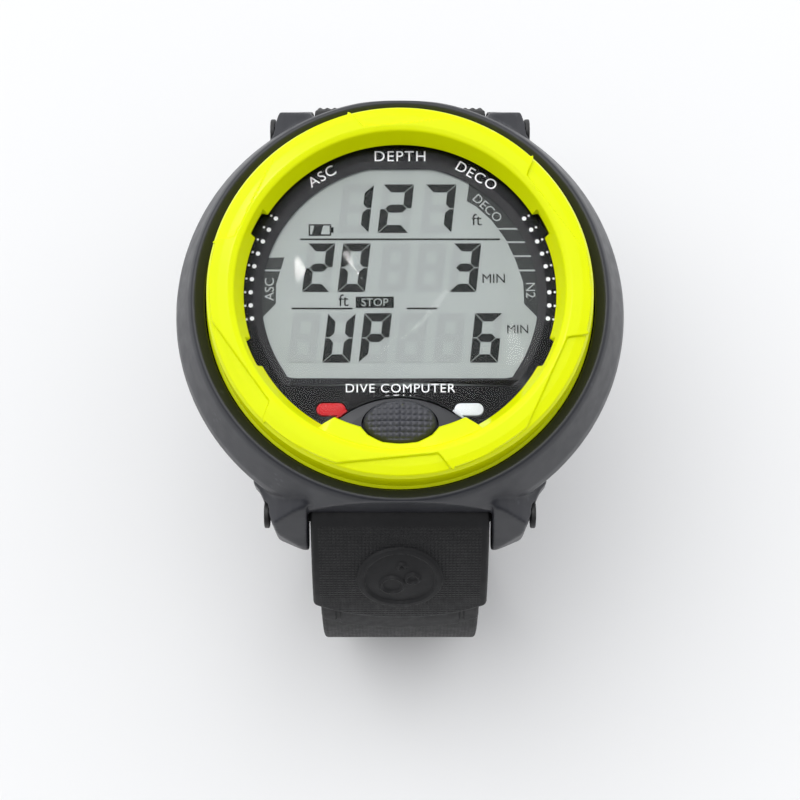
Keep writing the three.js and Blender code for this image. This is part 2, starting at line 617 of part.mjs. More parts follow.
add("sliding_keeper", keeper(SLIDING_KEEPER_AT), RUBBER);
add("fixed_keeper", keeper(FIXED_KEEPER_AT), RUBBER);
add("buckle_pin", bar(PIN_RADIUS, -BUCKLE.armOuter, BUCKLE.armOuter, BUCKLE_Y, BUCKLE_Z), STEEL);
add("buckle_frame", buckleFrame(), STEEL);
add("buckle_tongue", buckleTongue(), STEEL);

export default group;
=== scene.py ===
"""The looks of a wrist dive computer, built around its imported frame.

Shapes are worked out in millimetres in the frame's own axes (+Z leaves the display, +Y is twelve
o'clock) and are turned into metres when a mesh is made.
"""
import math

import bmesh
import bpy
import numpy as np
from mathutils import Matrix, Vector


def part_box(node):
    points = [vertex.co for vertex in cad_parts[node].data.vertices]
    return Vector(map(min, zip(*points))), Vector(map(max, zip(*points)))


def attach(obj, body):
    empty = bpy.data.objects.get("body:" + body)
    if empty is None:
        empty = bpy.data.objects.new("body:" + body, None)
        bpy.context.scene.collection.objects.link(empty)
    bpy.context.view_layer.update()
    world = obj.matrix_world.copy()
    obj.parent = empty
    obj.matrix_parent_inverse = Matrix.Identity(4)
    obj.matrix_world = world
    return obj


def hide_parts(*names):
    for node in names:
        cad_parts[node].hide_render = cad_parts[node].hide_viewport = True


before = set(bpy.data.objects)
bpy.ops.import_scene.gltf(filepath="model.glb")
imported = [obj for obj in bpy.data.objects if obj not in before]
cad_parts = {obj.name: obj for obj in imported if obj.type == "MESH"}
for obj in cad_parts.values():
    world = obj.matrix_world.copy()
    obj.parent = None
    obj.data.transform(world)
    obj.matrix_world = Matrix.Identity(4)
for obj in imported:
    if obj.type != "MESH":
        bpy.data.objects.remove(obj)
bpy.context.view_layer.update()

MM = 0.001


def node_box(name):
    """A CAD node's lowest and highest corners in millimetres."""
    low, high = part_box(name)
    return low / MM, high / MM


def node_centre(name):
    low, high = node_box(name)
    return (low + high) / 2


# ---- places read from the frame -----------------------------------------------------------------

BEZEL_LOW, BEZEL_HIGH = node_box("bezel")
CASE_R = node_box("front_case")[1].x
CREST_Z = BEZEL_HIGH.z
BEZEL_FOOT_Z = BEZEL_LOW.z
DIAL_Z = node_box("dial_mask")[1].z
DIAL_R = node_box("dial_mask")[1].x
LCD_Z = node_box("lcd_panel")[1].z
LENS_LOW, LENS_HIGH = node_box("lens")
BUTTON_LOW, BUTTON_HIGH = node_box("mode_button")
BUTTON_AT = node_centre("mode_button")
BUTTON_HALF = (BUTTON_HIGH - BUTTON_LOW) / 2
PIN = node_centre("lower_strap_pin")
BUCKLE_PIN = node_centre("buckle_pin")
FLOOR_Z = node_box("lower_strap")[0].z - 0.15
CONTACT_X = node_centre("water_contact_right").x
SCREW_RING = 25.2
PIN_R = 0.9
PIN_BORE_R = 1.2
PIN_HEAD_R = 2.3
PIN_HEAD_FROM = 21.5
LUG_INNER = 15.1


# ---- camera -------------------------------------------------------------------------------------

TILT = math.radians(13.77)
CAMERA_RANGE = 326.0
CAMERA_DROP = 16.9


def make_camera():
    up = Vector((0, math.cos(TILT), math.sin(TILT)))
    back = Vector((0, -math.sin(TILT), math.cos(TILT)))
    place = Vector((0, 0, DIAL_Z)) + back * CAMERA_RANGE - up * CAMERA_DROP
    data = bpy.data.cameras.new("camera")
    data.lens = 90
    data.sensor_width = 36
    data.clip_start = 0.01
    camera = bpy.data.objects.new("camera", data)
    axes = Matrix((Vector((1, 0, 0)), up, back)).transposed().to_4x4()
    camera.matrix_world = Matrix.Translation(place * MM) @ axes
    bpy.context.scene.collection.objects.link(camera)
    bpy.context.scene.camera = camera
    bpy.context.scene.view_settings.view_transform = "Standard"


make_camera()


# ---- materials ----------------------------------------------------------------------------------

def shader(name):
    material = bpy.data.materials.new(name)
    material.use_nodes = True
    tree = material.node_tree
    return material, tree, tree.nodes["Principled BSDF"]


def noise(tree, scale, detail=4.0):
    """A noise value in the object's own space; scale is in features per metre."""
    coords = tree.nodes.new("ShaderNodeTexCoord")
    texture = tree.nodes.new("ShaderNodeTexNoise")
    texture.inputs["Scale"].default_value = scale
    texture.inputs["Detail"].default_value = detail
    tree.links.new(coords.outputs["Object"], texture.inputs["Vector"])
    return texture.outputs["Fac"]


def remap(tree, value, low, high):
    node = tree.nodes.new("ShaderNodeMapRange")
    node.inputs["From Min"].default_value = 0.3
    node.inputs["From Max"].default_value = 0.7
    node.inputs["To Min"].default_value = low
    node.inputs["To Max"].default_value = high
    tree.links.new(value, node.inputs["Value"])
    return node.outputs["Result"]


def blend_colour(tree, value, dark, light):
    node = tree.nodes.new("ShaderNodeMix")
    node.data_type = "RGBA"
    node.inputs["A"].default_value = (*dark, 1)
    node.inputs["B"].default_value = (*light, 1)
    tree.links.new(value, node.inputs["Factor"])
    return node.outputs["Result"]


def math_node(tree, operation, a, b=None):
    node = tree.nodes.new("ShaderNodeMath")
    node.operation = operation
    for socket, value in zip(node.inputs, (a, b)):
        if value is None:
            continue
        if isinstance(value, (int, float)):
            socket.default_value = value
        else:
            tree.links.new(value, socket)
    return node.outputs[0]


def bump(tree, bsdf, height, distance_mm, strength=1.0):
    node = tree.nodes.new("ShaderNodeBump")
    node.inputs["Strength"].default_value = strength
    node.inputs["Distance"].default_value = distance_mm * MM
    tree.links.new(height, node.inputs["Height"])
    tree.links.new(node.outputs["Normal"], bsdf.inputs["Normal"])


def moulded(name, colour, roughness, mottle=0.08, grain_mm=0.02, grain_scale=4200, edge_highlight=0.0, **plain):
    """Plastic or rubber: faint colour drift, uneven gloss, a fine mould grain and painted highlights that
    lighten its convex edges.
    """
    material, tree, bsdf = shader(name)
    drift = remap(tree, noise(tree, 90), 0, 1)
    dark = [c * (1 - mottle) for c in colour]
    light = [c * (1 + mottle) for c in colour]
    tint = blend_colour(tree, drift, dark, light)
    # Painted highlight: convex edges, picked out by pointiness, are lightened towards a paler tint.
    if edge_highlight:
        geometry = tree.nodes.new("ShaderNodeNewGeometry")
        edge = tree.nodes.new("ShaderNodeMapRange")
        edge.inputs["From Min"].default_value = 0.53
        edge.inputs["From Max"].default_value = 0.62
        edge.inputs["To Max"].default_value = edge_highlight
        tree.links.new(geometry.outputs["Pointiness"], edge.inputs["Value"])
        edge_lit = tree.nodes.new("ShaderNodeMix")
        edge_lit.data_type = "RGBA"
        edge_lit.inputs["B"].default_value = (*[min(1, c * 2.5 + 0.03) for c in colour], 1)
        tree.links.new(edge.outputs["Result"], edge_lit.inputs["Factor"])
        tree.links.new(tint, edge_lit.inputs["A"])
        tint = edge_lit.outputs["Result"]
    tree.links.new(tint, bsdf.inputs["Base Color"])
    gloss = remap(tree, noise(tree, 420, 6), roughness * 0.88, roughness * 1.12)
    tree.links.new(gloss, bsdf.inputs["Roughness"])
    if grain_mm:
        bump(tree, bsdf, noise(tree, grain_scale, 3), grain_mm)
    for socket, value in plain.items():
        bsdf.inputs[socket.replace("_", " ")].default_value = value
    return material


def brushed(name, colour, roughness, along=(40, 2600, 2600), metallic=1.0):
    """Metal with fine scratches drawn out along one direction."""
    material, tree, bsdf = shader(name)
    coords = tree.nodes.new("ShaderNodeTexCoord")
    stretch = tree.nodes.new("ShaderNodeMapping")
    stretch.inputs["Scale"].default_value = along
    streak = tree.nodes.new("ShaderNodeTexNoise")
    streak.inputs["Scale"].default_value = 1
    streak.inputs["Detail"].default_value = 5
    tree.links.new(coords.outputs["Object"], stretch.inputs["Vector"])
    tree.links.new(stretch.outputs["Vector"], streak.inputs["Vector"])
    fine = streak.outputs["Fac"]
    dark = [c * 0.82 for c in colour]
    tree.links.new(blend_colour(tree, remap(tree, fine, 0, 1), dark, colour), bsdf.inputs["Base Color"])
    tree.links.new(remap(tree, fine, roughness * 0.75, roughness * 1.3), bsdf.inputs["Roughness"])
    bsdf.inputs["Metallic"].default_value = metallic
    bump(tree, bsdf, fine, 0.008)
    return material


def strap_rubber():
    """Matt rubber with a fine moulded grid that fades where the strap is left plain."""
    material, tree, bsdf = shader("strap_rubber")
    mottle = remap(tree, noise(tree, 120), 0, 1)
    tint = blend_colour(tree, mottle, (0.009, 0.009, 0.010), (0.015, 0.015, 0.016))
    tree.links.new(tint, bsdf.inputs["Base Color"])
    tree.links.new(remap(tree, noise(tree, 700, 5), 0.50, 0.64), bsdf.inputs["Roughness"])
    place = tree.nodes.new("ShaderNodeUVMap")
    place.uv_map = "strap"
    parts = tree.nodes.new("ShaderNodeSeparateXYZ")
    tree.links.new(place.outputs["UV"], parts.inputs["Vector"])
    turns = math.pi / GRID_PITCH
    waves = [math_node(tree, "SINE", math_node(tree, "MULTIPLY", parts.outputs[i], turns)) for i in (0, 1)]
    ridges = [math_node(tree, "ABSOLUTE", wave) for wave in waves]
    cells = math_node(tree, "MULTIPLY", ridges[0], ridges[1])
    mask = tree.nodes.new("ShaderNodeAttribute")
    mask.attribute_name = "grid"
    height = math_node(tree, "MULTIPLY", cells, mask.outputs["Fac"])
    fine = math_node(tree, "MULTIPLY", noise(tree, 5200, 2), 0.18)
    bump(tree, bsdf, math_node(tree, "ADD", height, fine), 0.16)
    bsdf.inputs["Specular IOR Level"].default_value = 0.3
    return material


def window_glass():
    """Clear mineral glass; light reaches the dial through it."""
    material, tree, bsdf = shader("window_glass")
    bsdf.inputs["Base Color"].default_value = (1, 1, 1, 1)
    bsdf.inputs["Transmission Weight"].default_value = 1
    bsdf.inputs["IOR"].default_value = 1.15
    haze = remap(tree, noise(tree, 60, 5), 0.0, 0.03)
    tree.links.new(haze, bsdf.inputs["Roughness"])
    clear = tree.nodes.new("ShaderNodeBsdfTransparent")
    path = tree.nodes.new("ShaderNodeLightPath")
    mix = tree.nodes.new("ShaderNodeMixShader")
    output = tree.nodes["Material Output"]
    tree.links.new(path.outputs["Is Shadow Ray"], mix.inputs["Fac"])
    tree.links.new(bsdf.outputs[0], mix.inputs[1])
    tree.links.new(clear.outputs[0], mix.inputs[2])
    tree.links.new(mix.outputs[0], output.inputs["Surface"])
    return material


GRID_PITCH = 0.62
# The bezel's weak yellow emission is a painted glow that lifts its colour.
YELLOW = moulded("bezel_yellow", (0.70, 0.78, 0.0), 0.16, 0.02, 0.006, 900, Specular_IOR_Level=0.12,
                 Emission_Color=(0.9, 1.0, 0.0, 1), Emission_Strength=0.05)
# The case's convex edges are lightened as a painted highlight.
CHARCOAL = moulded("case_charcoal", (0.016, 0.017, 0.023), 0.38, 0.10, 0.012, 4200, edge_highlight=0.25,
                   Specular_IOR_Level=0.45)
BLACK = moulded("inner_black", (0.010, 0.010, 0.011), 0.45)
PRINT_BLACK = moulded("dial_black", (0.005, 0.005, 0.006), 0.35, 0.05, 0.004, Specular_IOR_Level=0.05)
BEVEL_GREY = moulded("display_bevel_grey", (0.016, 0.016, 0.018), 0.35, 0.05, 0.004, Specular_IOR_Level=0.2)
SEAL = moulded("seal_rubber", (0.015, 0.015, 0.016), 0.65)
# The button's convex edges are lightened as a painted highlight.
BUTTON = moulded("button_charcoal", (0.030, 0.031, 0.040), 0.36, 0.10, 0.015, edge_highlight=0.35)
RUBBER = strap_rubber()
KEEPER_RUBBER = moulded("keeper_rubber", (0.016, 0.016, 0.017), 0.52, 0.15, 0.04, 3000)
GLASS = window_glass()
LCD_GREY = moulded("lcd_grey", (0.32, 0.35, 0.34), 0.5, 0.035, 0.003, 1500, Specular_IOR_Level=0.1)
LCD_GHOST = moulded("lcd_ghost", (0.29, 0.315, 0.307), 0.5, 0.02, 0, Specular_IOR_Level=0.1)
LCD_DARK = moulded("lcd_segment", (0.003, 0.005, 0.0045), 0.40, 0.1, 0, Specular_IOR_Level=0.1)
LCD_TAB = moulded("lcd_band", (0.030, 0.034, 0.034), 0.40, 0.1, 0, Specular_IOR_Level=0.1)
LCD_LIGHT = moulded("lcd_band_lettering", (0.30, 0.33, 0.32), 0.40, 0.05, 0)
PRINT_WHITE = moulded("dial_white", (0.86, 0.87, 0.88), 0.45, 0.02, 0.002)
RED = moulded("light_red", (0.46, 0.002, 0.006), 0.30, 0.08, 0.002, Specular_IOR_Level=0.1)
WHITE = moulded("light_white", (0.62, 0.65, 0.68), 0.22, 0.05, 0.002, Coat_Weight=0.5)
DIFFUSER = moulded("diffuser_white", (0.8, 0.8, 0.78), 0.6)
BOARD = moulded("board_green", (0.018, 0.13, 0.06), 0.35, 0.15)
STEEL = brushed("stainless", (0.52, 0.53, 0.55), 0.27)
BUCKLE_STEEL = brushed("buckle_stainless", (0.50, 0.50, 0.52), 0.30, (60, 2400, 2400))
CELL = brushed("cell_nickel", (0.62, 0.62, 0.60), 0.22, (1600, 1600, 60))
BRASS = brushed("contact_brass", (0.72, 0.50, 0.20), 0.25)


# ---- mesh helpers -------------------------------------------------------------------------------

def new_object(name, vertices, faces, sharp=35):
    mesh = bpy.data.meshes.new(name)
    mesh.from_pydata([Vector(v) * MM for v in vertices], [], faces)
    mesh.validate()
    piece = bpy.data.objects.new(name, mesh)
    bpy.context.scene.collection.objects.link(piece)
    shade(piece, sharp)
    return piece


def shade(piece, sharp=35):
    piece.data.shade_smooth()
    piece.data.set_sharp_from_angle(angle=math.radians(sharp))


def bake_modifiers(piece):
    graph = bpy.context.evaluated_depsgraph_get()
    mesh = bpy.data.meshes.new_from_object(piece.evaluated_get(graph))
    piece.modifiers.clear()
    piece.data = mesh


def finish_piece(piece, body, material, slot, *replaced):
    piece.data.materials.clear()
    piece.data.materials.append(material)
    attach(piece, body)
    if replaced:
        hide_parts(*replaced)
    return piece


def boolean(piece, operation, *tools):
    """Joins, cuts or keeps the overlap of piece with each tool, which are then removed."""
    for tool in tools:
        step = piece.modifiers.new("cut", "BOOLEAN")
        step.operation = operation
        step.solver = "EXACT"
        step.object = tool
        bake_modifiers(piece)
        bpy.data.objects.remove(tool)
    return piece


def joined(name, pieces):
    """One object from several, without merging them."""
    mesh = bmesh.new()
    for piece in pieces:
        mesh.from_mesh(piece.data)
    made = bpy.data.meshes.new(name)
    mesh.to_mesh(made)
    mesh.free()
    for piece in pieces:
        bpy.data.objects.remove(piece)
    whole = bpy.data.objects.new(name, made)
    bpy.context.scene.collection.objects.link(whole)
    return whole


def melt(piece, voxel_mm, rounds):
    """Fuses a body's overlapping solids and softens its edges, as a mould does."""
    step = piece.modifiers.new("melt", "REMESH")
    step.mode = "VOXEL"
    step.voxel_size = voxel_mm * MM
    soften = piece.modifiers.new("soften", "SMOOTH")
    soften.factor = 0.5
    soften.iterations = rounds
    bake_modifiers(piece)
    shade(piece, 60)
    return piece


def rounded(points, radius, steps=4):
    """A closed outline with each corner turned by an arc; radius may be one value or one per corner."""
    count = len(points)
    radii = radius if isinstance(radius, (list, tuple)) else [radius] * count
    out = []
    for i, corner in enumerate(points):
        here = Vector(corner)
        before = Vector(points[i - 1]) - here
        after = Vector(points[(i + 1) % count]) - here
        half = before.angle(after, math.pi) / 2
        if radii[i] <= 0 or half > math.radians(88):
            out.append(tuple(here))
            continue
        reach = min(radii[i] / math.tan(half), before.length * 0.48, after.length * 0.48)
        start = here + before.normalized() * reach
        end = here + after.normalized() * reach
        for k in range(steps + 1):
            t = k / steps
            point = start * (1 - t) ** 2 + here * 2 * t * (1 - t) + end * t ** 2
            out.append(tuple(point))
    return out


def turned(name, profile, segments=192, sharp=35):
    """A body of revolution about Z from (radius, height) points that run anticlockwise."""
    vertices, rings = [], []
    for radius, height in profile:
        if radius < 1e-6:
            rings.append([len(vertices)] * segments)
            vertices.append((0, 0, height))
            continue
        rings.append(range(len(vertices), len(vertices) + segments))
        for k in range(segments):
            angle = 2 * math.pi * k / segments
            vertices.append((radius * math.cos(angle), radius * math.sin(angle), height))
    faces = []
    for a, b in zip(rings, rings[1:] + rings[:1]):
        for k in range(segments):
            n = (k + 1) % segments
            face = list(dict.fromkeys((a[k], a[n], b[n], b[k])))
            if len(face) > 2:
                faces.append(face)
    return new_object(name, vertices, faces, sharp)


def disc(name, radius, low, high, edge=0.15, segments=96, at=(0, 0)):
    corners = [(0, low), (radius, low), (radius, high), (0, high)]
    piece = turned(name, rounded(corners, [0, edge, edge, 0]), segments)
    piece.data.transform(Matrix.Translation(Vector((*at, 0)) * MM))
    return piece


def ring(name, inner, outer, low, high, edge=0.15, segments=128, at=(0, 0)):
    piece = turned(name, rounded([(inner, low), (outer, low), (outer, high), (inner, high)], edge), segments)
    piece.data.transform(Matrix.Translation(Vector((*at, 0)) * MM))
    return piece


def prism(name, outline, low, high, edge=0.0, sharp=35):
    """A plan outline raised from low to high, with its rims rounded by `edge`."""
    turns = [math.pi / 2 * k / 3 for k in range(4)] if edge else [math.pi / 2]
    arc = [(edge * (1 - math.sin(a)), edge * (1 - math.cos(a))) for a in turns]
    levels = [(low + rise, inset) for inset, rise in arc]
    levels += [(high - rise, inset) for inset, rise in arc[::-1]]
    count = len(outline)
    normals = outline_normals(outline)
    vertices = [
        (x - nx * inset, y - ny * inset, z)
        for z, inset in levels for (x, y), (nx, ny) in zip(outline, normals)
    ]
    faces = [list(reversed(range(count))), list(range(len(vertices) - count, len(vertices)))]
    for level in range(len(levels) - 1):
        base = level * count
        for k in range(count):
            n = (k + 1) % count
            faces.append((base + k, base + n, base + count + n, base + count + k))
    return new_object(name, vertices, faces, sharp)


def outline_normals(outline):
    """Outward unit normals at the points of an anticlockwise outline."""
    points = np.array(outline, float)
    along = np.roll(points, -1, 0) - np.roll(points, 1, 0)
    normals = np.stack([along[:, 1], -along[:, 0]], 1)
    return normals / np.maximum(np.linalg.norm(normals, axis=1, keepdims=True), 1e-9)


def across(name, outline, left, right, edge=0.0):
    """A side outline (y, z) stretched from x = left to x = right."""
    piece = prism(name, outline, left, right, edge)
    turn = Matrix(((0, 0, 1, 0), (1, 0, 0, 0), (0, 1, 0, 0), (0, 0, 0, 1)))
    piece.data.transform(turn)
    return piece


def rod(name, radius, left, right, y, z, edge=0.15, segments=64):
    """A round bar along X."""
    return along_x(disc(name, radius, left, right, edge, segments), y, z)


def along_x(piece, y, z):
    """Lays a piece that was turned about Z along X, through a point (y, z)."""
    piece.data.transform(Matrix.Translation(Vector((0, y, z)) * MM) @ Matrix.Rotation(math.pi / 2, 4, "Y"))
    return piece


def box(name, low, high, edge=0.0):
    (x0, y0, z0), (x1, y1, z1) = low, high
    corner = max(edge, 1e-3)
    outline = rounded([(x0, y0), (x1, y0), (x1, y1), (x0, y1)], corner, 3)
    return prism(name, outline, z0, z1, edge)


def anticlockwise(outline):
    area = sum(x0 * y1 - x1 * y0 for (x0, y0), (x1, y1) in zip(outline, outline[1:] + outline[:1]))
    return outline if area > 0 else outline[::-1]


def circle(radius, at=(0, 0), count=64):
    return ellipse(radius, radius, at, count)


def ellipse(half_x, half_y, at, count=128):
    turns = [2 * math.pi * k / count for k in range(count)]
    return [(at[0] + half_x * math.cos(turn), at[1] + half_y * math.sin(turn)) for turn in turns]


def mirrored(piece, axis):
    """A copy of piece across the plane through the origin that is square to an axis."""
    data = piece.data.copy()
    scale = [1, 1, 1]
    scale["XYZ".index(axis)] = -1
    data.transform(Matrix.Diagonal((*scale, 1)))
    data.flip_normals()
    copy = bpy.data.objects.new(piece.name + "_" + axis, data)
    bpy.context.scene.collection.objects.link(copy)
    return copy


def polar(radius, degrees):
    return radius * math.cos(math.radians(degrees)), radius * math.sin(math.radians(degrees))


def button_outline(margin):
    return ellipse(BUTTON_HALF.x + margin, BUTTON_HALF.y + margin, (0, BUTTON_AT.y))


# ---- bezel --------------------------------------------------------------------------------------

PANEL_STEP = 0.5
LIP_R = 25.3
NOTCHES = [(21.7, 31.0), (-28.9, -18.3)]


def smooth(value, low, high):
    t = np.clip((value - low) / (high - low), 0, 1)
    return t * t * (3 - 2 * t)


def panel_edge(turn):
    """Radius of the grip panel's edge, by the clockwise turn in degrees from a panel's step."""
    chord_turn = np.radians(turn - 4)
    span = math.radians(31)
    near, far = 28.0, 30.6
    blend = near * np.sin(np.maximum(chord_turn, 1e-6)) + far * np.sin(np.maximum(span - chord_turn, 1e-6))
    chord = near * far * math.sin(span) / blend
    step = 31.3 - (31.3 - near) * smooth(turn, 0, 4)
    rest = far + 0.25 * smooth(turn, 35, 60)
    return np.where(turn < 4, step, np.where(turn < 35, chord, rest))


def bezel_section():
    """The bezel's section as dense (radius, height) points from foot to crest to the lens, then back."""
    outside = [(31.4, BEZEL_FOOT_Z), (31.7, BEZEL_FOOT_Z + 0.6), (31.7, 19.7), (31.1, 20.85),
               (29.4, CREST_Z - 0.05), (27.6, CREST_Z), (26.7, 20.95)]
    inside = [(LIP_R, LENS_HIGH.z + 0.5), (LIP_R, LENS_HIGH.z + 0.3), (29.7, LENS_HIGH.z + 0.3)]
    corners = [(29.7, BEZEL_FOOT_Z)] + outside + inside
    curve = rounded(corners, [0, 0.2, 0.3, 0.9, 0.8, 1.6, 1.2, 0.5, 0.2, 0, 0], 8)
    points = np.array(curve)
    reach = np.concatenate([[0], np.cumsum(np.linalg.norm(np.diff(points, axis=0), axis=1))])
    places = np.arange(0, reach[-1], 0.16)
    return np.stack([np.interp(places, reach, points[:, i]) for i in (0, 1)], 1)


def ear_radius(angle):
    """How far in the two ears at the button reach, by angle from six o'clock in degrees."""
    turn = np.abs(angle)
    corners = [(0, 25.5), (6.3, 25.4), (12, 24.6), (15.2, 23.6), (26.1, 23.6), (28.3, 25.1), (29.6, 25.6)]
    return np.interp(turn, [c[0] for c in corners], [c[1] for c in corners])


def make_bezel():
    section = bezel_section()
    along = np.gradient(section, axis=0)
    normal = np.stack([along[:, 1], -along[:, 0]], 1)
    normal /= np.linalg.norm(normal, axis=1, keepdims=True)
    count = 1260
    angles = np.linspace(0, 360, count, endpoint=False)
    radius, height = section[:, :1], section[:, 1:]
    edge = panel_edge(np.mod(106 - angles, 60))[None, :]
    outer = radius > 27.2
    lowered = PANEL_STEP * smooth(radius - edge, -0.12, 0.12) * outer * (height > 14)
    r = radius - normal[:, :1] * lowered
    z = height - normal[:, 1:] * lowered
    inside = (radius < 26.9) & (height > LENS_HIGH.z + 0.25)
    side = np.where(np.abs(np.mod(angles, 360) - 180) < 90, 180 - angles, angles)
    side = np.where(side > 180, side - 360, side)
    for start, end in NOTCHES:
        open_here = smooth(side, start - 0.5, start + 0.5) * (1 - smooth(side, end - 0.5, end + 0.5))
        depth = 0.95 * (1 - smooth(height, 18.9, 19.7))
        r = np.where(inside, r + depth * open_here[None, :], r)
    from_six = np.mod(angles - 270 + 180, 360) - 180
    reach_in = np.minimum(ear_radius(from_six), 25.6)[None, :]
    span = 1 - smooth(np.abs(from_six), 28.3, 29.4)[None, :]
    fill = inside & (height < 20.5)
    shelf = reach_in + 0.3 * smooth(height, 19.7, 20.4)
    r = np.where(fill, np.minimum(r, r + (shelf - r) * span * (r > shelf)), r)
    turn = np.radians(angles)[None, :]
    rows = len(section)
    grid = np.stack([r * np.cos(turn), r * np.sin(turn), np.broadcast_to(z, r.shape)], -1)
    faces = []
    for i in range(rows):
        j = (i + 1) % rows
        for k in range(count):
            n = (k + 1) % count
            faces.append((i * count + k, i * count + n, j * count + n, j * count + k))
    piece = new_object("bezel_shell", grid.reshape(-1, 3), faces, 55)
    well = prism("button_cut", button_outline(0.3), 15, 24)
    boolean(piece, "DIFFERENCE", well)
    shade(piece, 40)
    finish_piece(piece, "case", YELLOW, "bezel_plastic", "bezel")


# ---- case ---------------------------------------------------------------------------------------

def lug():
    """One of the four lugs, at the left of six o'clock mirrored to +X."""
    side_view = rounded([(-20, -0.2), (-33, -1.5), (-36.9, -3.2), (-38.4, -3.1), (-39, -2.3), (-38.5, -0.4),
                         (-37.6, 1.6), (-36.4, 4.6), (-35.2, 7.6), (-34, 10.4), (-20, 12.6)],
                        [0, 3, 1.5, 1, 1, 2, 3, 3, 3, 1.5, 0])
    body = across("lug", anticlockwise(side_view), 12, 26)
    plan = rounded([(15.1, -18), (15.1, -39.3), (20.3, -37.0), (22.4, -32.2), (22.7, -31.0), (23.3, -29.7),
                    (24.4, -28.4), (22.3, -18)], [0, 0.6, 1.2, 2, 1, 1, 1, 0])
    front = rounded([(10, -5), (26, -5), (26, 2), (22.5, 4), (20, 6.8), (17.5, 9.2), (15.1, 11), (10, 13)],
                    [0, 0, 1, 3, 3, 3, 0, 0])
    upright = prism("front", anticlockwise(front), 15, 45)
    upright.data.transform(Matrix.Rotation(math.pi / 2, 4, "X"))
    return boolean(body, "INTERSECT", prism("plan", anticlockwise(plan), -5, 15), upright)


def strap_gap():
    """What the strap needs cleared between two lugs, on the -Y side."""
    return [
        box("gap_low", (-LUG_INNER, -60, -6), (LUG_INNER, -33.6, 6.4)),
        box("gap_high", (-LUG_INNER, -60, -6), (LUG_INNER, -34.1, 18)),
        rod("gap_round", 4.2, -LUG_INNER, LUG_INNER, PIN.y, PIN.z, 0),
        box("gap_under", (-LUG_INNER, -60, -6), (LUG_INNER, -29.4, 2.2)),
    ]


def make_case():
    outside = [(0, 0.4), (34.6, 0.4), (36.2, 1.8), (37.2, 4.4), (CASE_R, 6.4), (37.1, 8.4), (34.6, 14.9),
               (33.95, 16), (33.4, 15.9), (31.95, 14.7), (31.95, 13.2), (31.6, 12.9), (29.4, 12.9),
               (29.4, 17), (0, 17)]
    body = turned("case_shell", rounded(outside, [0, 0.6, 1, 2, 2, 2, 0, 0.3, 0.3, 0.2, 0, 0, 0, 0.3, 0], 6))
    lugs = [lug()]
    lugs.append(mirrored(lugs[0], "X"))
    lugs += [mirrored(one, "Y") for one in lugs[:2]]
    boolean(body, "UNION", *lugs)
    for tool in strap_gap():
        other = mirrored(tool, "Y")
        boolean(body, "DIFFERENCE", tool, other)
    for sy in (-1, 1):
        wide, seat = PIN_HEAD_R + 0.3, PIN_HEAD_FROM - 0.3
        stepped = [(0, -30), (wide, -30), (wide, -seat), (PIN_BORE_R, -seat), (PIN_BORE_R, seat),
                   (wide, seat), (wide, 30), (0, 30)]
        boolean(body, "DIFFERENCE", along_x(turned("pin_bore", stepped, 60), sy * abs(PIN.y), PIN.z))
    hollow = [(0, -1), (29, -1), (29, 3), (27.9, 3), (27.9, 13.4), (26.9, 13.4), (26.9, 15.5), (28.3, 15.5),
              (28.3, 20), (0, 20)]
    boolean(body, "DIFFERENCE", turned("hollow", hollow))
    melt(body, 0.3, 5)
    finish_piece(body, "case", CHARCOAL, "case_plastic", "front_case")


def make_case_inside():
    """The button's boss and the screw posts, which the case is moulded with."""
    boss = prism("button_boss", boss_outline(0), 12.9, 16.4, 0.1)
    keep = disc("keep", 28.2, 10, 20, 0)
    boolean(boss, "INTERSECT", keep)
    well = prism("well", button_outline(0.35), 13.9, 20)
    gland = disc("gland", 1.75, 13.2, 20, 0, 48, (0, BUTTON_AT.y))
    bore = disc("bore", 1.2, 5, 20, 0, 48, (0, BUTTON_AT.y))
    boolean(boss, "DIFFERENCE", well, gland, bore)
    shade(boss, 30)
    finish_piece(boss, "case", CHARCOAL, "case_plastic")
    for angle in (45, 135, 225, 315):
        x, y = polar(SCREW_RING, angle)
        post = ring("screw_post_%d" % angle, 1.0, 3.0, 3.0, 9.6, 0.1, 48, (x, y))
        finish_piece(post, "case", CHARCOAL, "case_plastic")


def boss_outline(extra):
    return circle(15.6 + extra, (0, -32.9), 240)


# ---- lens, dial and display ---------------------------------------------------------------------

def arc_points(radius, start, end, step=1.5, at=(0, 0)):
    count = max(2, int(abs(end - start) / step))
    return [
        (at[0] + polar(radius, a)[0], at[1] + polar(radius, a)[1]) for a in np.linspace(start, end, count + 1)
    ]


def bitten_disc(radius, extra):
    """A disc's outline with the button boss's arc taken out of its foot."""
    bite, centre = 15.6 + extra, 32.9
    y = -(radius ** 2 - bite ** 2 + centre ** 2) / (2 * centre)
    angle = math.degrees(math.acos(-y / radius))
    bite_angle = math.degrees(math.atan2(y + centre, math.sqrt(radius ** 2 - y ** 2)))
    rim = arc_points(radius, angle - 90, 270 - angle)
    return rim[:-1] + arc_points(bite, 180 - bite_angle, bite_angle, 1.5, (0, -centre))[:-1]


def window_outline(grow=0.0):
    """The display window: a circle cut flat at its head and its foot."""
    radius, head, foot = 22.5 + grow, 22.0 + grow, -13.7 - grow
    top = math.degrees(math.asin(head / radius))
    low = math.degrees(math.asin(foot / radius))
    right = arc_points(radius, low + 3.0, top - 1, 1.5)
    left = [(-x, y) for x, y in right[::-1]]
    corner = right[0][0], foot
    inner = corner[0] - 1.4, foot
    turn_right = [inner, (corner[0] - 0.35, foot + 0.25)]
    turn_left = [(-x, y) for x, y in turn_right[::-1]]
    return right + left + turn_left + turn_right


def make_lens():
    piece = prism("window_lens", bitten_disc(LENS_HIGH.x, 0.3), LENS_LOW.z, LENS_HIGH.z, 0.12)
    finish_piece(piece, "case", GLASS, "lens_glass", "lens")


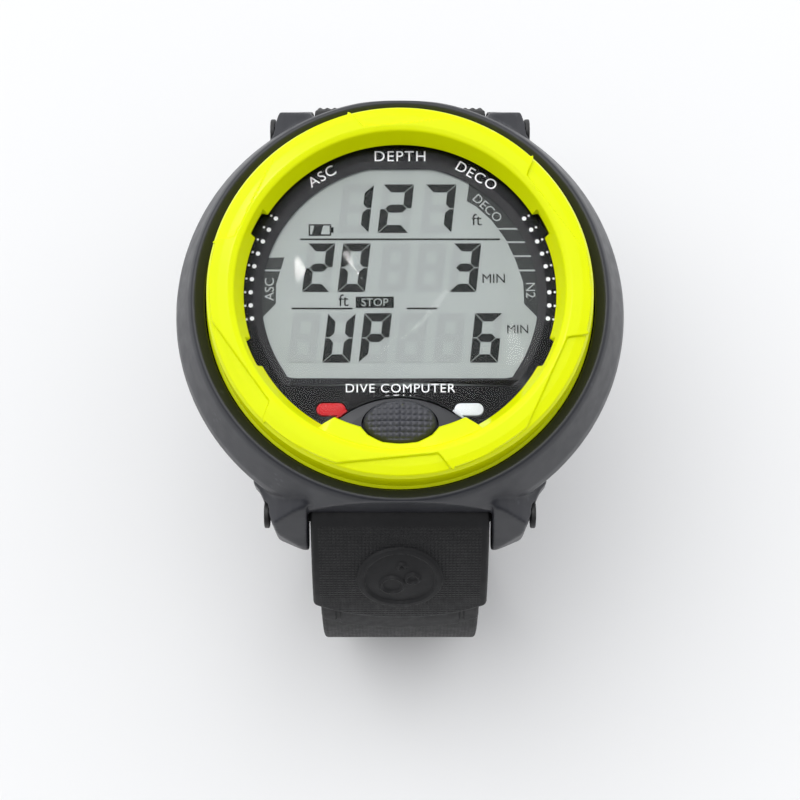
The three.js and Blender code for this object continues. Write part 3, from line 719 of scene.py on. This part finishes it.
def capsule(length, width, at, steps=14):
    half = (length - width) / 2
    step = 180 / (steps - 1)
    right = arc_points(width / 2, -90, 90, step, (at[0] + half, at[1]))
    return right + arc_points(width / 2, 90, 270, step, (at[0] - half, at[1]))


def make_dial():
    window = window_outline()
    grown = window_outline(1.35)
    low, high = DIAL_Z - 0.5, DIAL_Z
    plate = prism("dial_plate", bitten_disc(DIAL_R, 0.3), low, high, 0.05)
    boolean(plate, "DIFFERENCE", prism("opening", grown, low - 1, high + 1))
    for side in (-1, 1):
        at = side * LIGHT_X, LIGHT_Y
        boolean(plate, "DIFFERENCE", prism("light_slot", capsule(5.1, 2.5, at), low - 1, high + 1))
    shade(plate, 30)
    finish_piece(plate, "case", PRINT_BLACK, "dial_print", "dial_mask")
    count = len(window)
    levels = [(grown, high), (window, low + 0.05), (window, low), (grown, low)]
    vertices = [(x, y, z) for outline, z in levels for x, y in outline]
    faces = []
    for level in range(4):
        a, b = level * count, (level + 1) % 4 * count
        faces += [(a + (k + 1) % count, a + k, b + k, b + (k + 1) % count) for k in range(count)]
    bevel = new_object("window_bevel", vertices, [f[::-1] for f in faces], 30)
    finish_piece(bevel, "case", BEVEL_GREY, "dial_print")


LIGHT_X = abs(node_centre("alarm_light").x)
LIGHT_Y = node_centre("alarm_light").y


def make_lights():
    for name, node, material, slot, side in (
        ("alarm_light_pipe", "alarm_light", RED, "red_plastic", -1),
        ("status_light_pipe", "status_light", WHITE, "white_plastic", 1),
    ):
        at = side * LIGHT_X, LIGHT_Y
        piece = prism(name, capsule(4.7, 2.1, at), node_box(node)[0].z, DIAL_Z, 0.2)
        finish_piece(piece, "case", material, slot, node)


def make_dial_dots():
    """Two rows of dots down each side of the dial: round ones inside, dashes outside."""
    marks = []
    for side in (-1, 1):
        for k in range(9):
            angle = 33 - 5.26 * k
            x, y = polar(24.3, angle)
            marks.append(disc("dot", 0.36, DIAL_Z, DIAL_Z + 0.03, 0, 20, (side * x, y)))
            x, y = polar(25.2, angle)
            marks.append(disc("dash", 0.2, DIAL_Z, DIAL_Z + 0.03, 0, 14, (side * x, y)))
    dots = joined("dial_dots", marks)
    finish_piece(dots, "case", PRINT_WHITE, "dial_print")


def lettering(name, words, size, at, turn, top, material, slot, weight=0.0, wide=1.0, spacing=1.0):
    """Printed letters that lie flat, centred on a point, in the font built into Blender."""
    curve = bpy.data.curves.new(name, "FONT")
    curve.body = words
    curve.size = 1
    curve.align_x = "CENTER"
    curve.align_y = "CENTER"
    curve.space_character = spacing
    curve.offset = weight
    curve.extrude = 0.01
    curve.resolution_u = 6
    text = bpy.data.objects.new(name, curve)
    bpy.context.scene.collection.objects.link(text)
    graph = bpy.context.evaluated_depsgraph_get()
    mesh = bpy.data.meshes.new_from_object(text.evaluated_get(graph))
    bpy.data.objects.remove(text)
    heights = [v.co.y for v in mesh.vertices]
    middle = (max(heights) + min(heights)) / 2
    scale = size / (max(heights) - min(heights))
    place = Matrix.Translation(Vector((at[0], at[1], top)) * MM)
    place = place @ Matrix.Rotation(math.radians(turn), 4, "Z")
    place = place @ Matrix.Diagonal((scale * wide * MM, scale * MM, MM, 1))
    mesh.transform(place @ Matrix.Translation((0, -middle, 0)))
    piece = bpy.data.objects.new(name, mesh)
    bpy.context.scene.collection.objects.link(piece)
    return finish_piece(piece, "case", material, slot)


def make_dial_lettering():
    top = DIAL_Z + 0.01
    for name, words, size, at, turn in (
        ("legend_depth", "DEPTH", 1.75, (0, 24.1), 0), ("legend_ascent", "ASC", 1.75, (-12.9, 20.6), 32),
        ("legend_stop", "DECO", 1.75, (12.6, 20.7), -31),
        ("legend_name", "DIVE COMPUTER", 1.45, (0, -15.45), 0),
    ):
        lettering(name, words, size, at, turn, top, PRINT_WHITE, "dial_print", 0.0, 1.03, 1.12)


# Which of a digit's seven bars are lit: top, upper right, lower right, foot, lower left, upper left, middle.
BARS = {
    "0": "1111110", "1": "0110000", "2": "1101101", "3": "1111001", "6": "1011111", "7": "1110000",
    "U": "0111110", "P": "1100111", " ": "0000000",
}
SLANT = 0.11
BAR_WIDTH = 1.38


def digit_bars(width, height, bar):
    """The seven bars of an upright digit with its corner at the origin, as outlines."""
    w, h, b, g = width, height, bar, 0.08
    m = h / 2
    top = [(g, h), (w - g, h), (w - b - g, h - b), (b + g, h - b)]
    upper_right = [(w, h - g), (w, m + g), (w - b / 2, m + g), (w - b, m + b / 2 + g), (w - b, h - b - g)]
    middle = [(b / 2 + g, m), (b + g, m + b / 2), (w - b - g, m + b / 2), (w - b / 2 - g, m),
              (w - b - g, m - b / 2), (b + g, m - b / 2)]
    flip = [(x, h - y) for x, y in upper_right]
    foot = [(x, h - y) for x, y in top]
    left = [(w - x, y) for x, y in flip]
    upper_left = [(w - x, y) for x, y in upper_right]
    return [top, upper_right, flip, foot, left, upper_left, middle]


def flats(name, outlines, top, material, slot="display", thickness=0.02):
    pieces = [prism("flat", anticlockwise(outline), top, top + thickness) for outline in outlines]
    piece = joined(name, pieces)
    piece.data.shade_flat()
    return finish_piece(piece, "case", material, slot)


def leaning(outline, x, y):
    return [(x + px + SLANT * py, y + py) for px, py in outline]


def make_digits():
    rows = [
        (["1", "2", "7"], [-10.3, -3.7, 3.3], 11.0, 8.4, 5.1),
        (["2", "0", " ", " ", "3"], [-16.0, -10.2, -3.6, 2.3, 7.9], 0.9, 8.3, 4.5),
        ([" ", "U", "P", " ", " ", "6"], [-18.2, -12.6, -6.7, -0.8, 5.3, 11.3], -11.0, 8.3, 4.5),
    ]
    lit, ghost = [], []
    for characters, places, y, height, width in rows:
        for character, x in zip(characters, places):
            shapes = digit_bars(width, height, BAR_WIDTH)
            for shape, on in zip(shapes, BARS[character]):
                (lit if on == "1" else ghost).append(leaning(shape, x, y))
    flats("display_digits", lit, LCD_Z + 0.05, LCD_DARK)
    flats("display_ghosts", ghost, LCD_Z + 0.03, LCD_GHOST)


def bar_line(x0, x1, y, width=0.28):
    return [(x0, y - width / 2), (x1, y - width / 2), (x1, y + width / 2), (x0, y + width / 2)]


def make_display_marks():
    lines = [bar_line(-16.4, 16.4, 9.9), bar_line(-17.6, -7.7, -1.9), bar_line(1.1, 6.0, -1.9)]
    battery = [[(-15, 10.5), (-11.3, 10.5), (-11.3, 12.5), (-15, 12.5)],
               [(-11.3, 11), (-10.9, 11), (-10.9, 12), (-11.3, 12)]]
    flats("display_rules", lines + battery, LCD_Z + 0.05, LCD_DARK)
    empty = [[(-14.75, 10.75), (-14.45, 10.75), (-14.05, 12.25), (-14.75, 12.25)],
             [(-13.0, 10.75), (-11.55, 10.75), (-11.55, 12.25), (-12.6, 12.25)]]
    flats("display_battery_empty", empty, LCD_Z + 0.08, LCD_GREY)
    stop_box = [(-7.2, -1.8), (-1.0, -1.8), (-1.0, 0.1), (-7.2, 0.1)]
    flats("display_stop_box", [stop_box], LCD_Z + 0.05, LCD_DARK)
    words = [
        ("ft_a", "ft", 2.0, (12.6, 13.3)), ("ft_b", "ft", 2.0, (-9.2, -0.5)),
        ("min_a", "MIN", 1.5, (15.3, 3.2)), ("min_b", "MIN", 1.4, (19.1, -5.4)),
    ]
    for name, word, size, at in words:
        lettering("display_" + name, word, size, at, 0, LCD_Z + 0.06, LCD_DARK, "display")
    lettering("display_stop", "STOP", 1.3, (-4.1, -0.85), 0, LCD_Z + 0.09, LCD_GREY, "display")


def make_display_bands():
    """The dark bands down both edges of the display, split into cells."""
    edge = 22.9
    right = arc_points(edge, -9.3, 60, 3)
    right += [(11, 16.5), (12.5, 15.6), (15.05, 13.2), (17.4, 9.8), (18.9, 6.3), (20.1, 2.55), (20.2, -1.1)]
    left = [(-20.2, -1.1), (-20.2, 2.2), (-18.9, 6.8)] + arc_points(edge, 163, 189.3, 3)
    flats("display_bands", [right, left], LCD_Z + 0.04, LCD_TAB)
    splits = [bar_line(x, 23, y) for x, y in ((16.0, 11.7), (17.5, 9.4), (18.4, 7.0), (19.2, 4.55))]
    splits.append(bar_line(-22.9, -19.3, 4.56))
    flats("display_band_splits", splits, LCD_Z + 0.07, LCD_GREY)
    for name, word, at, turn in (
        ("display_deco", "DECO", (14.4, 15.3), -45), ("display_gas", "N2", (21.3, 1.2), -90),
        ("display_ascent", "ASC", (-21.3, 1.37), 90),
    ):
        lettering(name, word, 1.5, at, turn, LCD_Z + 0.07, LCD_LIGHT, "display")


# ---- button -------------------------------------------------------------------------------------

KNURL_PITCH = 0.95


def make_button():
    """An oval dome whose top is cut into a grid of small rounded points."""
    half_x, half_y = BUTTON_HALF.x - 0.02, BUTTON_HALF.y - 0.02
    rings, spokes = 46, 224
    vertices = [(0.0, BUTTON_AT.y, button_height(0, 0, 0))]
    for i in range(1, rings + 1):
        share = i / rings
        for k in range(spokes):
            angle = 2 * math.pi * k / spokes
            x, y = half_x * share * math.cos(angle), half_y * share * math.sin(angle)
            vertices.append((x, BUTTON_AT.y + y, button_height(x, y, share)))
    last = len(vertices) - spokes
    skirt = [(1.0, BUTTON_LOW.z + 0.2), (0.985, BUTTON_LOW.z)]
    for share, z in skirt:
        for k in range(spokes):
            x, y, _ = vertices[last + k]
            vertices.append((x * share, BUTTON_AT.y + (y - BUTTON_AT.y) * share, z))
    faces = [(0, 1 + k, 1 + (k + 1) % spokes) for k in range(spokes)]
    for i in range(rings + len(skirt) - 1):
        a, b = 1 + i * spokes, 1 + (i + 1) * spokes
        faces += [(a + k, b + k, b + (k + 1) % spokes, a + (k + 1) % spokes) for k in range(spokes)]
    end = 1 + (rings + len(skirt) - 1) * spokes
    faces.append([end + k for k in range(spokes)][::-1])
    piece = new_object("button_cap", vertices, faces, 45)
    boolean(piece, "DIFFERENCE", disc("socket", 1.2, BUTTON_LOW.z - 1, 17.3, 0, 32, (0, BUTTON_AT.y)))
    shade(piece, 45)
    finish_piece(piece, "mode_button", BUTTON, "button_plastic", "mode_button")


def button_height(x, y, share):
    long_axis, short_axis, rise = 1.44 * BUTTON_HALF.x, 1.8 * BUTTON_HALF.y, 3.6
    crown = BUTTON_HIGH.z - rise + rise * math.sqrt(max(0, 1 - (x / long_axis) ** 2 - (y / short_axis) ** 2))
    grid = abs(math.sin(math.pi * x / KNURL_PITCH)) * abs(math.sin(math.pi * y / KNURL_PITCH))
    fade = 1 - min(1, max(0, (share - 0.86) / 0.08))
    rim = 0.35 * max(0, (share - 0.9) / 0.1) ** 2
    return crown - 0.22 + 0.22 * grid ** 0.6 * fade - rim


# ---- straps -------------------------------------------------------------------------------------

STRAP_STEP = 0.5
FINE_STEP = 0.16
BAND_DEPTH = 1.1
BAND_BACK = 4.3
PAD_BACK = 5.0
PAD_HALF = 14.7
BAND_HALF = 13.5
KNUCKLE_R = 3.9


def walked(side, heading, legs, fine_until):
    """Stations down a strap's outside: place, distance walked and heading (0 away from the case, 90 down)."""
    angle = math.radians(heading)
    y = side * abs(PIN.y) + side * math.sin(angle) * KNUCKLE_R
    z = PIN.z + math.cos(angle) * KNUCKLE_R
    walked_so_far = 0.0
    stations = [(y, z, angle, 0.0)]
    for turn, size in legs:
        length = math.radians(turn) * size if turn else size
        done = 0.0
        while done < length - 1e-6:
            step = min(FINE_STEP if walked_so_far < fine_until else STRAP_STEP, length - done)
            bend = step / size if turn else 0.0
            y += side * math.cos(angle + bend / 2) * step
            z -= math.sin(angle + bend / 2) * step
            angle += bend
            done += step
            walked_so_far += step
            stations.append((y, z, angle, walked_so_far))
    return np.array(stations)


def strap_mesh(name, side, stations, half_width, top_depth, back_depth, grid_mask):
    """A strap from its stations. The four functions take x and distance arrays; depth is inwards, in mm."""
    across_count = 150
    share = np.linspace(-1, 1, across_count + 1)
    share = np.sign(share) * (1 - (1 - np.abs(share)) ** 1.15)
    y, z, angle, s = stations.T
    half = half_width(s)
    x = half[:, None] * share[None, :]
    distance = np.broadcast_to(s[:, None], x.shape)
    top = top_depth(x, distance)
    back = np.broadcast_to(back_depth(x, distance), x.shape)
    corner = np.clip((np.abs(x) - (half[:, None] - 0.7)) / 0.7, 0, 1)
    drop = 0.7 * (1 - np.sqrt(1 - corner ** 2))
    layers = [top + drop, back - drop * 0.8]
    points = []
    for depth in layers:
        points.append(np.stack([
            x,
            y[:, None] - side * np.sin(angle)[:, None] * depth,
            z[:, None] - np.cos(angle)[:, None] * depth,
        ], -1))
    rows, columns = x.shape
    vertices = np.concatenate([p.reshape(-1, 3) for p in points])
    index = np.arange(rows * columns).reshape(rows, columns)
    under = index + rows * columns
    faces = []
    for i in range(rows - 1):
        for k in range(columns - 1):
            faces.append((index[i, k], index[i, k + 1], index[i + 1, k + 1], index[i + 1, k]))
            faces.append((under[i, k], under[i + 1, k], under[i + 1, k + 1], under[i, k + 1]))
        faces.append((index[i, 0], index[i + 1, 0], under[i + 1, 0], under[i, 0]))
        faces.append((index[i, -1], under[i, -1], under[i + 1, -1], index[i + 1, -1]))
    for k in range(columns - 1):
        faces.append((index[0, k], under[0, k], under[0, k + 1], index[0, k + 1]))
        faces.append((index[-1, k], index[-1, k + 1], under[-1, k + 1], under[-1, k]))
    if side > 0:
        faces = [face[::-1] for face in faces]
    faces = [tuple(int(i) for i in face[::-1]) for face in faces]
    piece = new_object(name, vertices, faces, 50)
    mesh = piece.data
    plan = np.concatenate([np.stack([x, distance], -1).reshape(-1, 2)] * 2)
    mask = np.concatenate([grid_mask(x, distance).ravel(), np.zeros(rows * columns)])
    layer = mesh.uv_layers.new(name="strap")
    corners = np.zeros(len(mesh.loops), int)
    mesh.loops.foreach_get("vertex_index", corners)
    layer.data.foreach_set("uv", plan[corners].astype(np.float32).ravel())
    mesh.attributes.new("grid", "FLOAT", "POINT").data.foreach_set("value", mask.astype(np.float32))
    return piece


def emblem_height(x, s):
    """A raised ring with three bubbles in it, on the pad."""
    centre = 11.3
    radius = np.hypot(x, s - centre)
    height = 0.45 * smooth(radius, 5.8, 6.1) * (1 - smooth(radius, 6.95, 7.25))
    for bx, bs, size in ((-1.3, 1.4, 2.3), (2.1, -0.2, 1.5), (0.3, -3.0, 1.0)):
        away = np.hypot(x - bx, s - centre - bs)
        height = height + 0.4 * (1 - smooth(away, size - 0.3, size)) * smooth(away, size - 0.85, size - 0.55)
    return height


def pad_end(x, centre_end):
    sweep = 26.0
    return centre_end - (sweep - np.sqrt(np.maximum(sweep ** 2 - x ** 2, 1)))


def lower_top(x, s):
    end = pad_end(x, 23.5)
    on_pad = 1 - smooth(s, end - 0.35, end + 0.1)
    rounding = 0.35 * smooth(s, end - 1.0, end)
    lip_end = pad_end(x, 29.0)
    centre = smooth(10.2 - np.abs(x), -0.2, 0.2) * (1 - smooth(s, lip_end - 0.3, lip_end + 0.2))
    rails = smooth(np.abs(x) - 11.0, -0.2, 0.2) * (1 - smooth(s, lip_end - 1.2, lip_end - 0.6))
    raised = 0.45 * np.maximum(centre, rails)
    return on_pad * rounding + (1 - on_pad) * (BAND_DEPTH - raised) - on_pad * emblem_height(x, s)


def lower_back(x, s):
    return PAD_BACK + (BAND_BACK - PAD_BACK) * smooth(s, 18.0, 23.0)


def make_lower_strap():
    legs = [(48, 45.0), (90, 26.0), (0, 36.0), (28, 30.0)]
    stations = walked(-1, 42, legs, 30)
    total = stations[-1, 3]

    def half(s):
        wide = PAD_HALF + (BAND_HALF - PAD_HALF) * smooth(s, 18.6, 19.6)
        taper = (BAND_HALF - 11.0) * smooth(s, total - 44, total - 10)
        from_tip = np.clip((9 - (total - s)) / 9, 0, 1)
        return np.maximum((wide - taper) * np.sqrt(np.maximum(1 - from_tip ** 2.4, 0)), 0.6)

    def mask(x, s):
        end = pad_end(x, 23.5)
        ring_area = smooth(np.hypot(x, s - 11.3), 7.2, 7.6)
        inner = smooth(half(s) - np.abs(x), 1.1, 1.5)
        pad = 1 - 0.999 * smooth(s, end - 1.2, end - 0.8)
        return ring_area * inner * pad + 0.6 * smooth(s, end + 6, end + 7)

    piece = strap_mesh("strap_lower", -1, stations, half, lower_top, lower_back, mask)
    for k in range(7):
        y = -22 + 6.2 * k
        slot = rounded([(-2.5, y - 1.2), (2.5, y - 1.2), (2.5, y + 1.2), (-2.5, y + 1.2)], 1.1)
        boolean(piece, "DIFFERENCE", prism("hole", slot, -70, -40))
    finish_strap(piece, -1)
    finish_piece(piece, "lower_strap", RUBBER, "strap_rubber", "lower_strap")


def finish_strap(piece, side):
    """The round knuckle at the case end, and the pin's bore through it."""
    knuckle = rod("knuckle", KNUCKLE_R, -PAD_HALF, PAD_HALF, side * abs(PIN.y), PIN.z, 0.5, 96)
    boolean(piece, "UNION", knuckle)
    boolean(piece, "DIFFERENCE", rod("bore", PIN_BORE_R, -20, 20, side * abs(PIN.y), PIN.z, 0, 48))
    shade(piece, 40)


def make_upper_strap():
    legs = [(35, 19.0), (0, 26.0)]
    stations = walked(1, 55, legs, 12)
    root_end = math.radians(35) * 19.0

    def half(s):
        return PAD_HALF + (BAND_HALF - PAD_HALF) * smooth(s, root_end - 0.6, root_end)

    def top(x, s):
        end = pad_end(x, root_end + 0.0)
        on_pad = 1 - smooth(s, end - 0.35, end + 0.1)
        ribs = 0.25 * on_pad * smooth(np.abs(x), 5.5, 6) * (0.5 + 0.5 * np.sin(2 * math.pi * np.abs(x) / 1.3))
        return on_pad * 0.35 * smooth(s, end - 1, end) + (1 - on_pad) * BAND_DEPTH + ribs

    def back(x, s):
        return PAD_BACK + (BAND_BACK - PAD_BACK) * smooth(s, root_end - 4, root_end)

    def mask(x, s):
        return smooth(PAD_HALF - np.abs(x), 1.2, 1.6) + 0 * s

    piece = strap_mesh("strap_upper", 1, stations, half, top, back, mask)
    eye = rod("eye", 2.2, -BAND_HALF, BAND_HALF, BUCKLE_PIN.y, BUCKLE_PIN.z, 0.4, 64)
    boolean(piece, "UNION", eye)
    low, high = (-1.9, BUCKLE_PIN.y - 6, BUCKLE_PIN.z - 5), (1.9, BUCKLE_PIN.y + 6, BUCKLE_PIN.z + 3.4)
    boolean(piece, "DIFFERENCE", box("tongue_slot", low, high))
    boolean(piece, "DIFFERENCE", rod("eye_bore", 1.2, -20, 20, BUCKLE_PIN.y, BUCKLE_PIN.z, 0, 48))
    finish_strap(piece, 1)
    finish_piece(piece, "upper_strap", RUBBER, "strap_rubber", "upper_strap")


def make_keepers():
    wall = 1.3
    for name, node, body in (
        ("keeper_sliding", "sliding_keeper", "sliding_keeper"),
        ("keeper_fixed", "fixed_keeper", "upper_strap"),
    ):
        low, high = node_box(node)
        outside = [(low.x, low.y), (high.x, low.y), (high.x, high.y), (low.x, high.y)]
        piece = prism(name, rounded(outside, 1.4, 8), low.z, high.z, 0.35)
        x0, y0, x1, y1 = low.x + wall, low.y + wall, high.x - wall, high.y - wall
        hole = rounded([(x0, y0), (x1, y0), (x1, y1), (x0, y1)], 0.5, 5)
        boolean(piece, "DIFFERENCE", prism("passage", hole, low.z - 1, high.z + 1))
        shade(piece, 35)
        finish_piece(piece, body, KEEPER_RUBBER, "strap_rubber", node)


# ---- buckle and pins ----------------------------------------------------------------------------

def make_buckle():
    low, high = node_box("buckle_frame")
    inner, outer = 13.9, high.x
    y0, y1 = BUCKLE_PIN.y - 1.3, BUCKLE_PIN.y + 1.3
    z0, z1 = low.z, BUCKLE_PIN.z
    plan = [(-outer, z1), (-outer, z0), (outer, z0), (outer, z1), (inner, z1), (inner, z0 + 2.8),
            (-inner, z0 + 2.8), (-inner, z1)]
    outline = rounded([(x, -z) for x, z in plan], [0.6, 2.6, 2.6, 0.6, 0.6, 1.4, 1.4, 0.6], 8)
    piece = prism("buckle_bow", anticlockwise(outline), y0, y1, 0.3)
    piece.data.transform(Matrix(((1, 0, 0, 0), (0, 0, 1, 0), (0, -1, 0, 0), (0, 0, 0, 1))))
    for side in (-1, 1):
        left, right = sorted((side * inner, side * outer))
        boolean(piece, "UNION", rod("eye", 2.2, left, right, BUCKLE_PIN.y, BUCKLE_PIN.z, 0.3))
    boolean(piece, "DIFFERENCE", rod("bore", PIN_BORE_R, -20, 20, BUCKLE_PIN.y, BUCKLE_PIN.z, 0, 48))
    shade(piece, 35)
    finish_piece(piece, "buckle_frame", BUCKLE_STEEL, "buckle_steel", "buckle_frame")


def make_tongue():
    low, high = node_box("buckle_tongue")
    face = BUCKLE_PIN.y + 1.6
    corners = [(face, low.z), (face + 1.2, low.z), (face + 1.2, BUCKLE_PIN.z + 0.6),
               (BUCKLE_PIN.y, BUCKLE_PIN.z), (face, BUCKLE_PIN.z - 1.4)]
    side_view = rounded(corners, [0.5, 0.5, 1.2, 0, 1.0], 6)
    piece = across("buckle_prong", anticlockwise(side_view), low.x, high.x, 0.3)
    eye = rod("eye", 2.4, low.x, high.x, BUCKLE_PIN.y, BUCKLE_PIN.z, 0.3)
    boolean(piece, "UNION", eye)
    boolean(piece, "DIFFERENCE", rod("bore", PIN_BORE_R, -5, 5, BUCKLE_PIN.y, BUCKLE_PIN.z, 0, 48))
    shade(piece, 35)
    finish_piece(piece, "buckle_tongue", BUCKLE_STEEL, "buckle_steel", "buckle_tongue")


def make_pins():
    for name, node, body, y, z in (
        ("pin_lower", "lower_strap_pin", "case", PIN.y, PIN.z),
        ("pin_upper", "upper_strap_pin", "case", -PIN.y, PIN.z),
        ("pin_buckle", "buckle_pin", "upper_strap", BUCKLE_PIN.y, BUCKLE_PIN.z),
    ):
        low, high = node_box(node)
        piece = rod(name, PIN_R, low.x, high.x, y, z, 0.2, 48)
        if body == "case":
            for side in (-1, 1):
                left, right = sorted((side * PIN_HEAD_FROM, side * high.x))
                boolean(piece, "UNION", rod("head", PIN_HEAD_R, left, right, y, z, 0.3, 64))
        shade(piece, 35)
        material = BLACK if body == "case" else STEEL
        finish_piece(piece, body, material, "steel", node)


# ---- rear ---------------------------------------------------------------------------------------

def make_rear_cover():
    section = [(0, 8.1), (13.35, 8.1), (13.35, 2), (14.9, 2), (14.9, 0), (28.7, 0), (28.7, 2.3), (16.4, 2.3),
               (16.4, 9), (0, 9)]
    radii = [0, 0, 0.2, 0, 0.3, 0.5, 0.1, 0.8, 0.5, 0]
    piece = turned("back_plate", rounded(section, radii, 5), 192)
    for angle in (45, 135, 225, 315):
        at = polar(SCREW_RING, angle)
        shank = disc("shank", 1.3, -1, 4, 0, 40, at)
        boolean(piece, "DIFFERENCE", shank, disc("sink", 2.3, -1, 1.8, 0, 48, at))
    for side in (-1, 1):
        boolean(piece, "DIFFERENCE", disc("contact", 1.8, -1, 4, 0, 48, (side * CONTACT_X, 0)))
        boolean(piece, "DIFFERENCE", disc("wire", 0.9, 6, 10, 0, 32, (side * 5, 0)))
        boolean(piece, "DIFFERENCE", disc("port", 0.6, -1, 4, 0, 32, (side * 2, 20.6)))
    boolean(piece, "DIFFERENCE", disc("port", 0.6, -1, 4, 0, 32, (0, 20.6)))
    shade(piece, 35)
    finish_piece(piece, "case", CHARCOAL, "case_plastic", "rear_cover")


def make_battery_door():
    section = [(0, 0), (14.6, 0), (14.6, 1.7), (12.4, 1.7), (12.4, 2.3), (0, 2.3)]
    piece = turned("door_disc", rounded(section, [0, 0.4, 0.15, 0, 0.1, 0]), 160)
    for side in (-1, 1):
        x0, x1 = side * 9 - 1.2, side * 9 + 1.2
        slot = rounded([(x0, -3.5), (x1, -3.5), (x1, 3.5), (x0, 3.5)], 1.15, 6)
        boolean(piece, "DIFFERENCE", prism("grip", slot, -1, 0.9))
    shade(piece, 35)
    finish_piece(piece, "battery_door", CHARCOAL, "case_plastic", "battery_door")


def make_screws():
    for k in range(4):
        node = "rear_cover_screw_%d" % (k + 1)
        middle = node_centre(node)
        at = middle.x, middle.y
        piece = disc("screw_%d" % (k + 1), 2.0, 0.3, 1.5, 0.3, 48, at)
        boolean(piece, "UNION", disc("shank", 1.0, 1.2, 8, 0.3, 32, at))
        cross = box("slot_a", (at[0] - 0.3, at[1] - 1.3, -1), (at[0] + 0.3, at[1] + 1.3, 0.9))
        other = box("slot_b", (at[0] - 1.3, at[1] - 0.3, -1), (at[0] + 1.3, at[1] + 0.3, 0.9))
        boolean(piece, "DIFFERENCE", cross, other)
        shade(piece, 35)
        finish_piece(piece, "case", STEEL, "steel", node)


def make_water_contacts():
    for side, name in ((-1, "water_contact_left"), (1, "water_contact_right")):
        piece = disc(name + "_pin", 1.5, 0.0, 4.2, 0.35, 64, (side * CONTACT_X, 0))
        finish_piece(piece, "case", STEEL, "steel", name)


# ---- nodes that keep their shape ----------------------------------------------------------------

KEPT = {
    SEAL: ("lens_gasket", "contact_strip_left", "contact_strip_right", "pressure_sensor_seal", "button_seal",
           "rear_cover_gasket", "battery_door_seal"),
    BLACK: ("lcd_holder", "controller_chip"),
    STEEL: ("button_switch", "pressure_sensor", "button_plunger", "button_spring", "button_clip"),
    BRASS: ("alarm_buzzer", "battery_contact_left", "battery_contact_right"),
    LCD_GREY: ("lcd_panel",),
    DIFFUSER: ("backlight_diffuser",),
    BOARD: ("circuit_board",),
    CELL: ("battery",),
}


def dress_kept_nodes():
    for material, names in KEPT.items():
        for name in names:
            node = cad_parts[name]
            node.data.materials.clear()
            node.data.materials.append(material)
            for polygon in node.data.polygons:
                polygon.material_index = 0
            shade(node, 25)


# ---- floor and light ----------------------------------------------------------------------------

def make_floor():
    half = 900
    corners = [(-half, -half, FLOOR_Z), (half, -half, FLOOR_Z), (half, half, FLOOR_Z), (-half, half, FLOOR_Z)]
    piece = new_object("floor", corners, [(0, 1, 2, 3)])
    material, tree, bsdf = shader("floor_paper")
    tone = blend_colour(tree, remap(tree, noise(tree, 6), 0, 1), (0.835, 0.835, 0.835), (0.845, 0.845, 0.845))
    tree.links.new(tone, bsdf.inputs["Base Color"])
    bsdf.inputs["Roughness"].default_value = 0.9
    bsdf.inputs["Specular IOR Level"].default_value = 0.0
    piece.data.materials.append(material)


SKY_STRENGTH = 0.95
SKY_TILT = 0.75
SUN_FROM = Vector((-0.35, 0.3, 1))


def make_sky():
    """A pale studio, brighter behind the object than in front of it."""
    world = bpy.data.worlds.new("studio")
    world.use_nodes = True
    tree = world.node_tree
    background = tree.nodes["Background"]
    background.inputs["Color"].default_value = (0.97, 0.98, 1.0, 1)
    coordinates = tree.nodes.new("ShaderNodeTexCoord")
    parts = tree.nodes.new("ShaderNodeSeparateXYZ")
    tree.links.new(coordinates.outputs["Generated"], parts.inputs["Vector"])
    tilt = math_node(tree, "MULTIPLY", parts.outputs["Y"], SKY_TILT * SKY_STRENGTH)
    tree.links.new(math_node(tree, "ADD", tilt, SKY_STRENGTH), background.inputs["Strength"])
    bpy.context.scene.world = world


def make_sun():
    sun = bpy.data.lights.new("sun", "SUN")
    sun.energy = 0.95
    sun.angle = math.radians(60)
    lamp = bpy.data.objects.new("sun", sun)
    lamp.rotation_euler = (-SUN_FROM).to_track_quat("-Z", "Y").to_euler()
    bpy.context.scene.collection.objects.link(lamp)


def softbox(name, place, size, power):
    """A lamp that shows only as a highlight."""
    data = bpy.data.lights.new(name, "AREA")
    data.shape = "RECTANGLE"
    data.size, data.size_y = size[0] * MM, size[1] * MM
    data.energy = power
    light = bpy.data.objects.new(name, data)
    light.location = Vector(place) * MM
    light.rotation_euler = (-Vector(place)).to_track_quat("-Z", "Y").to_euler()
    light.visible_diffuse = False
    bpy.context.scene.collection.objects.link(light)


def make_lights_and_world():
    make_sky()
    make_sun()
    softbox("softbox", (-64.5, 181.6, 491), (18, 30), 0.16)


# ---- everything ---------------------------------------------------------------------------------

for build in (
    make_bezel, make_case, make_case_inside, make_lens, make_dial, make_lights, make_dial_dots,
    make_dial_lettering, make_digits, make_display_marks, make_display_bands, make_button,
    make_lower_strap, make_upper_strap,
    make_keepers, make_buckle, make_tongue, make_pins, make_rear_cover, make_battery_door, make_screws,
    make_water_contacts, dress_kept_nodes, make_floor, make_lights_and_world,
):
    build()

bpy.context.view_layer.update()
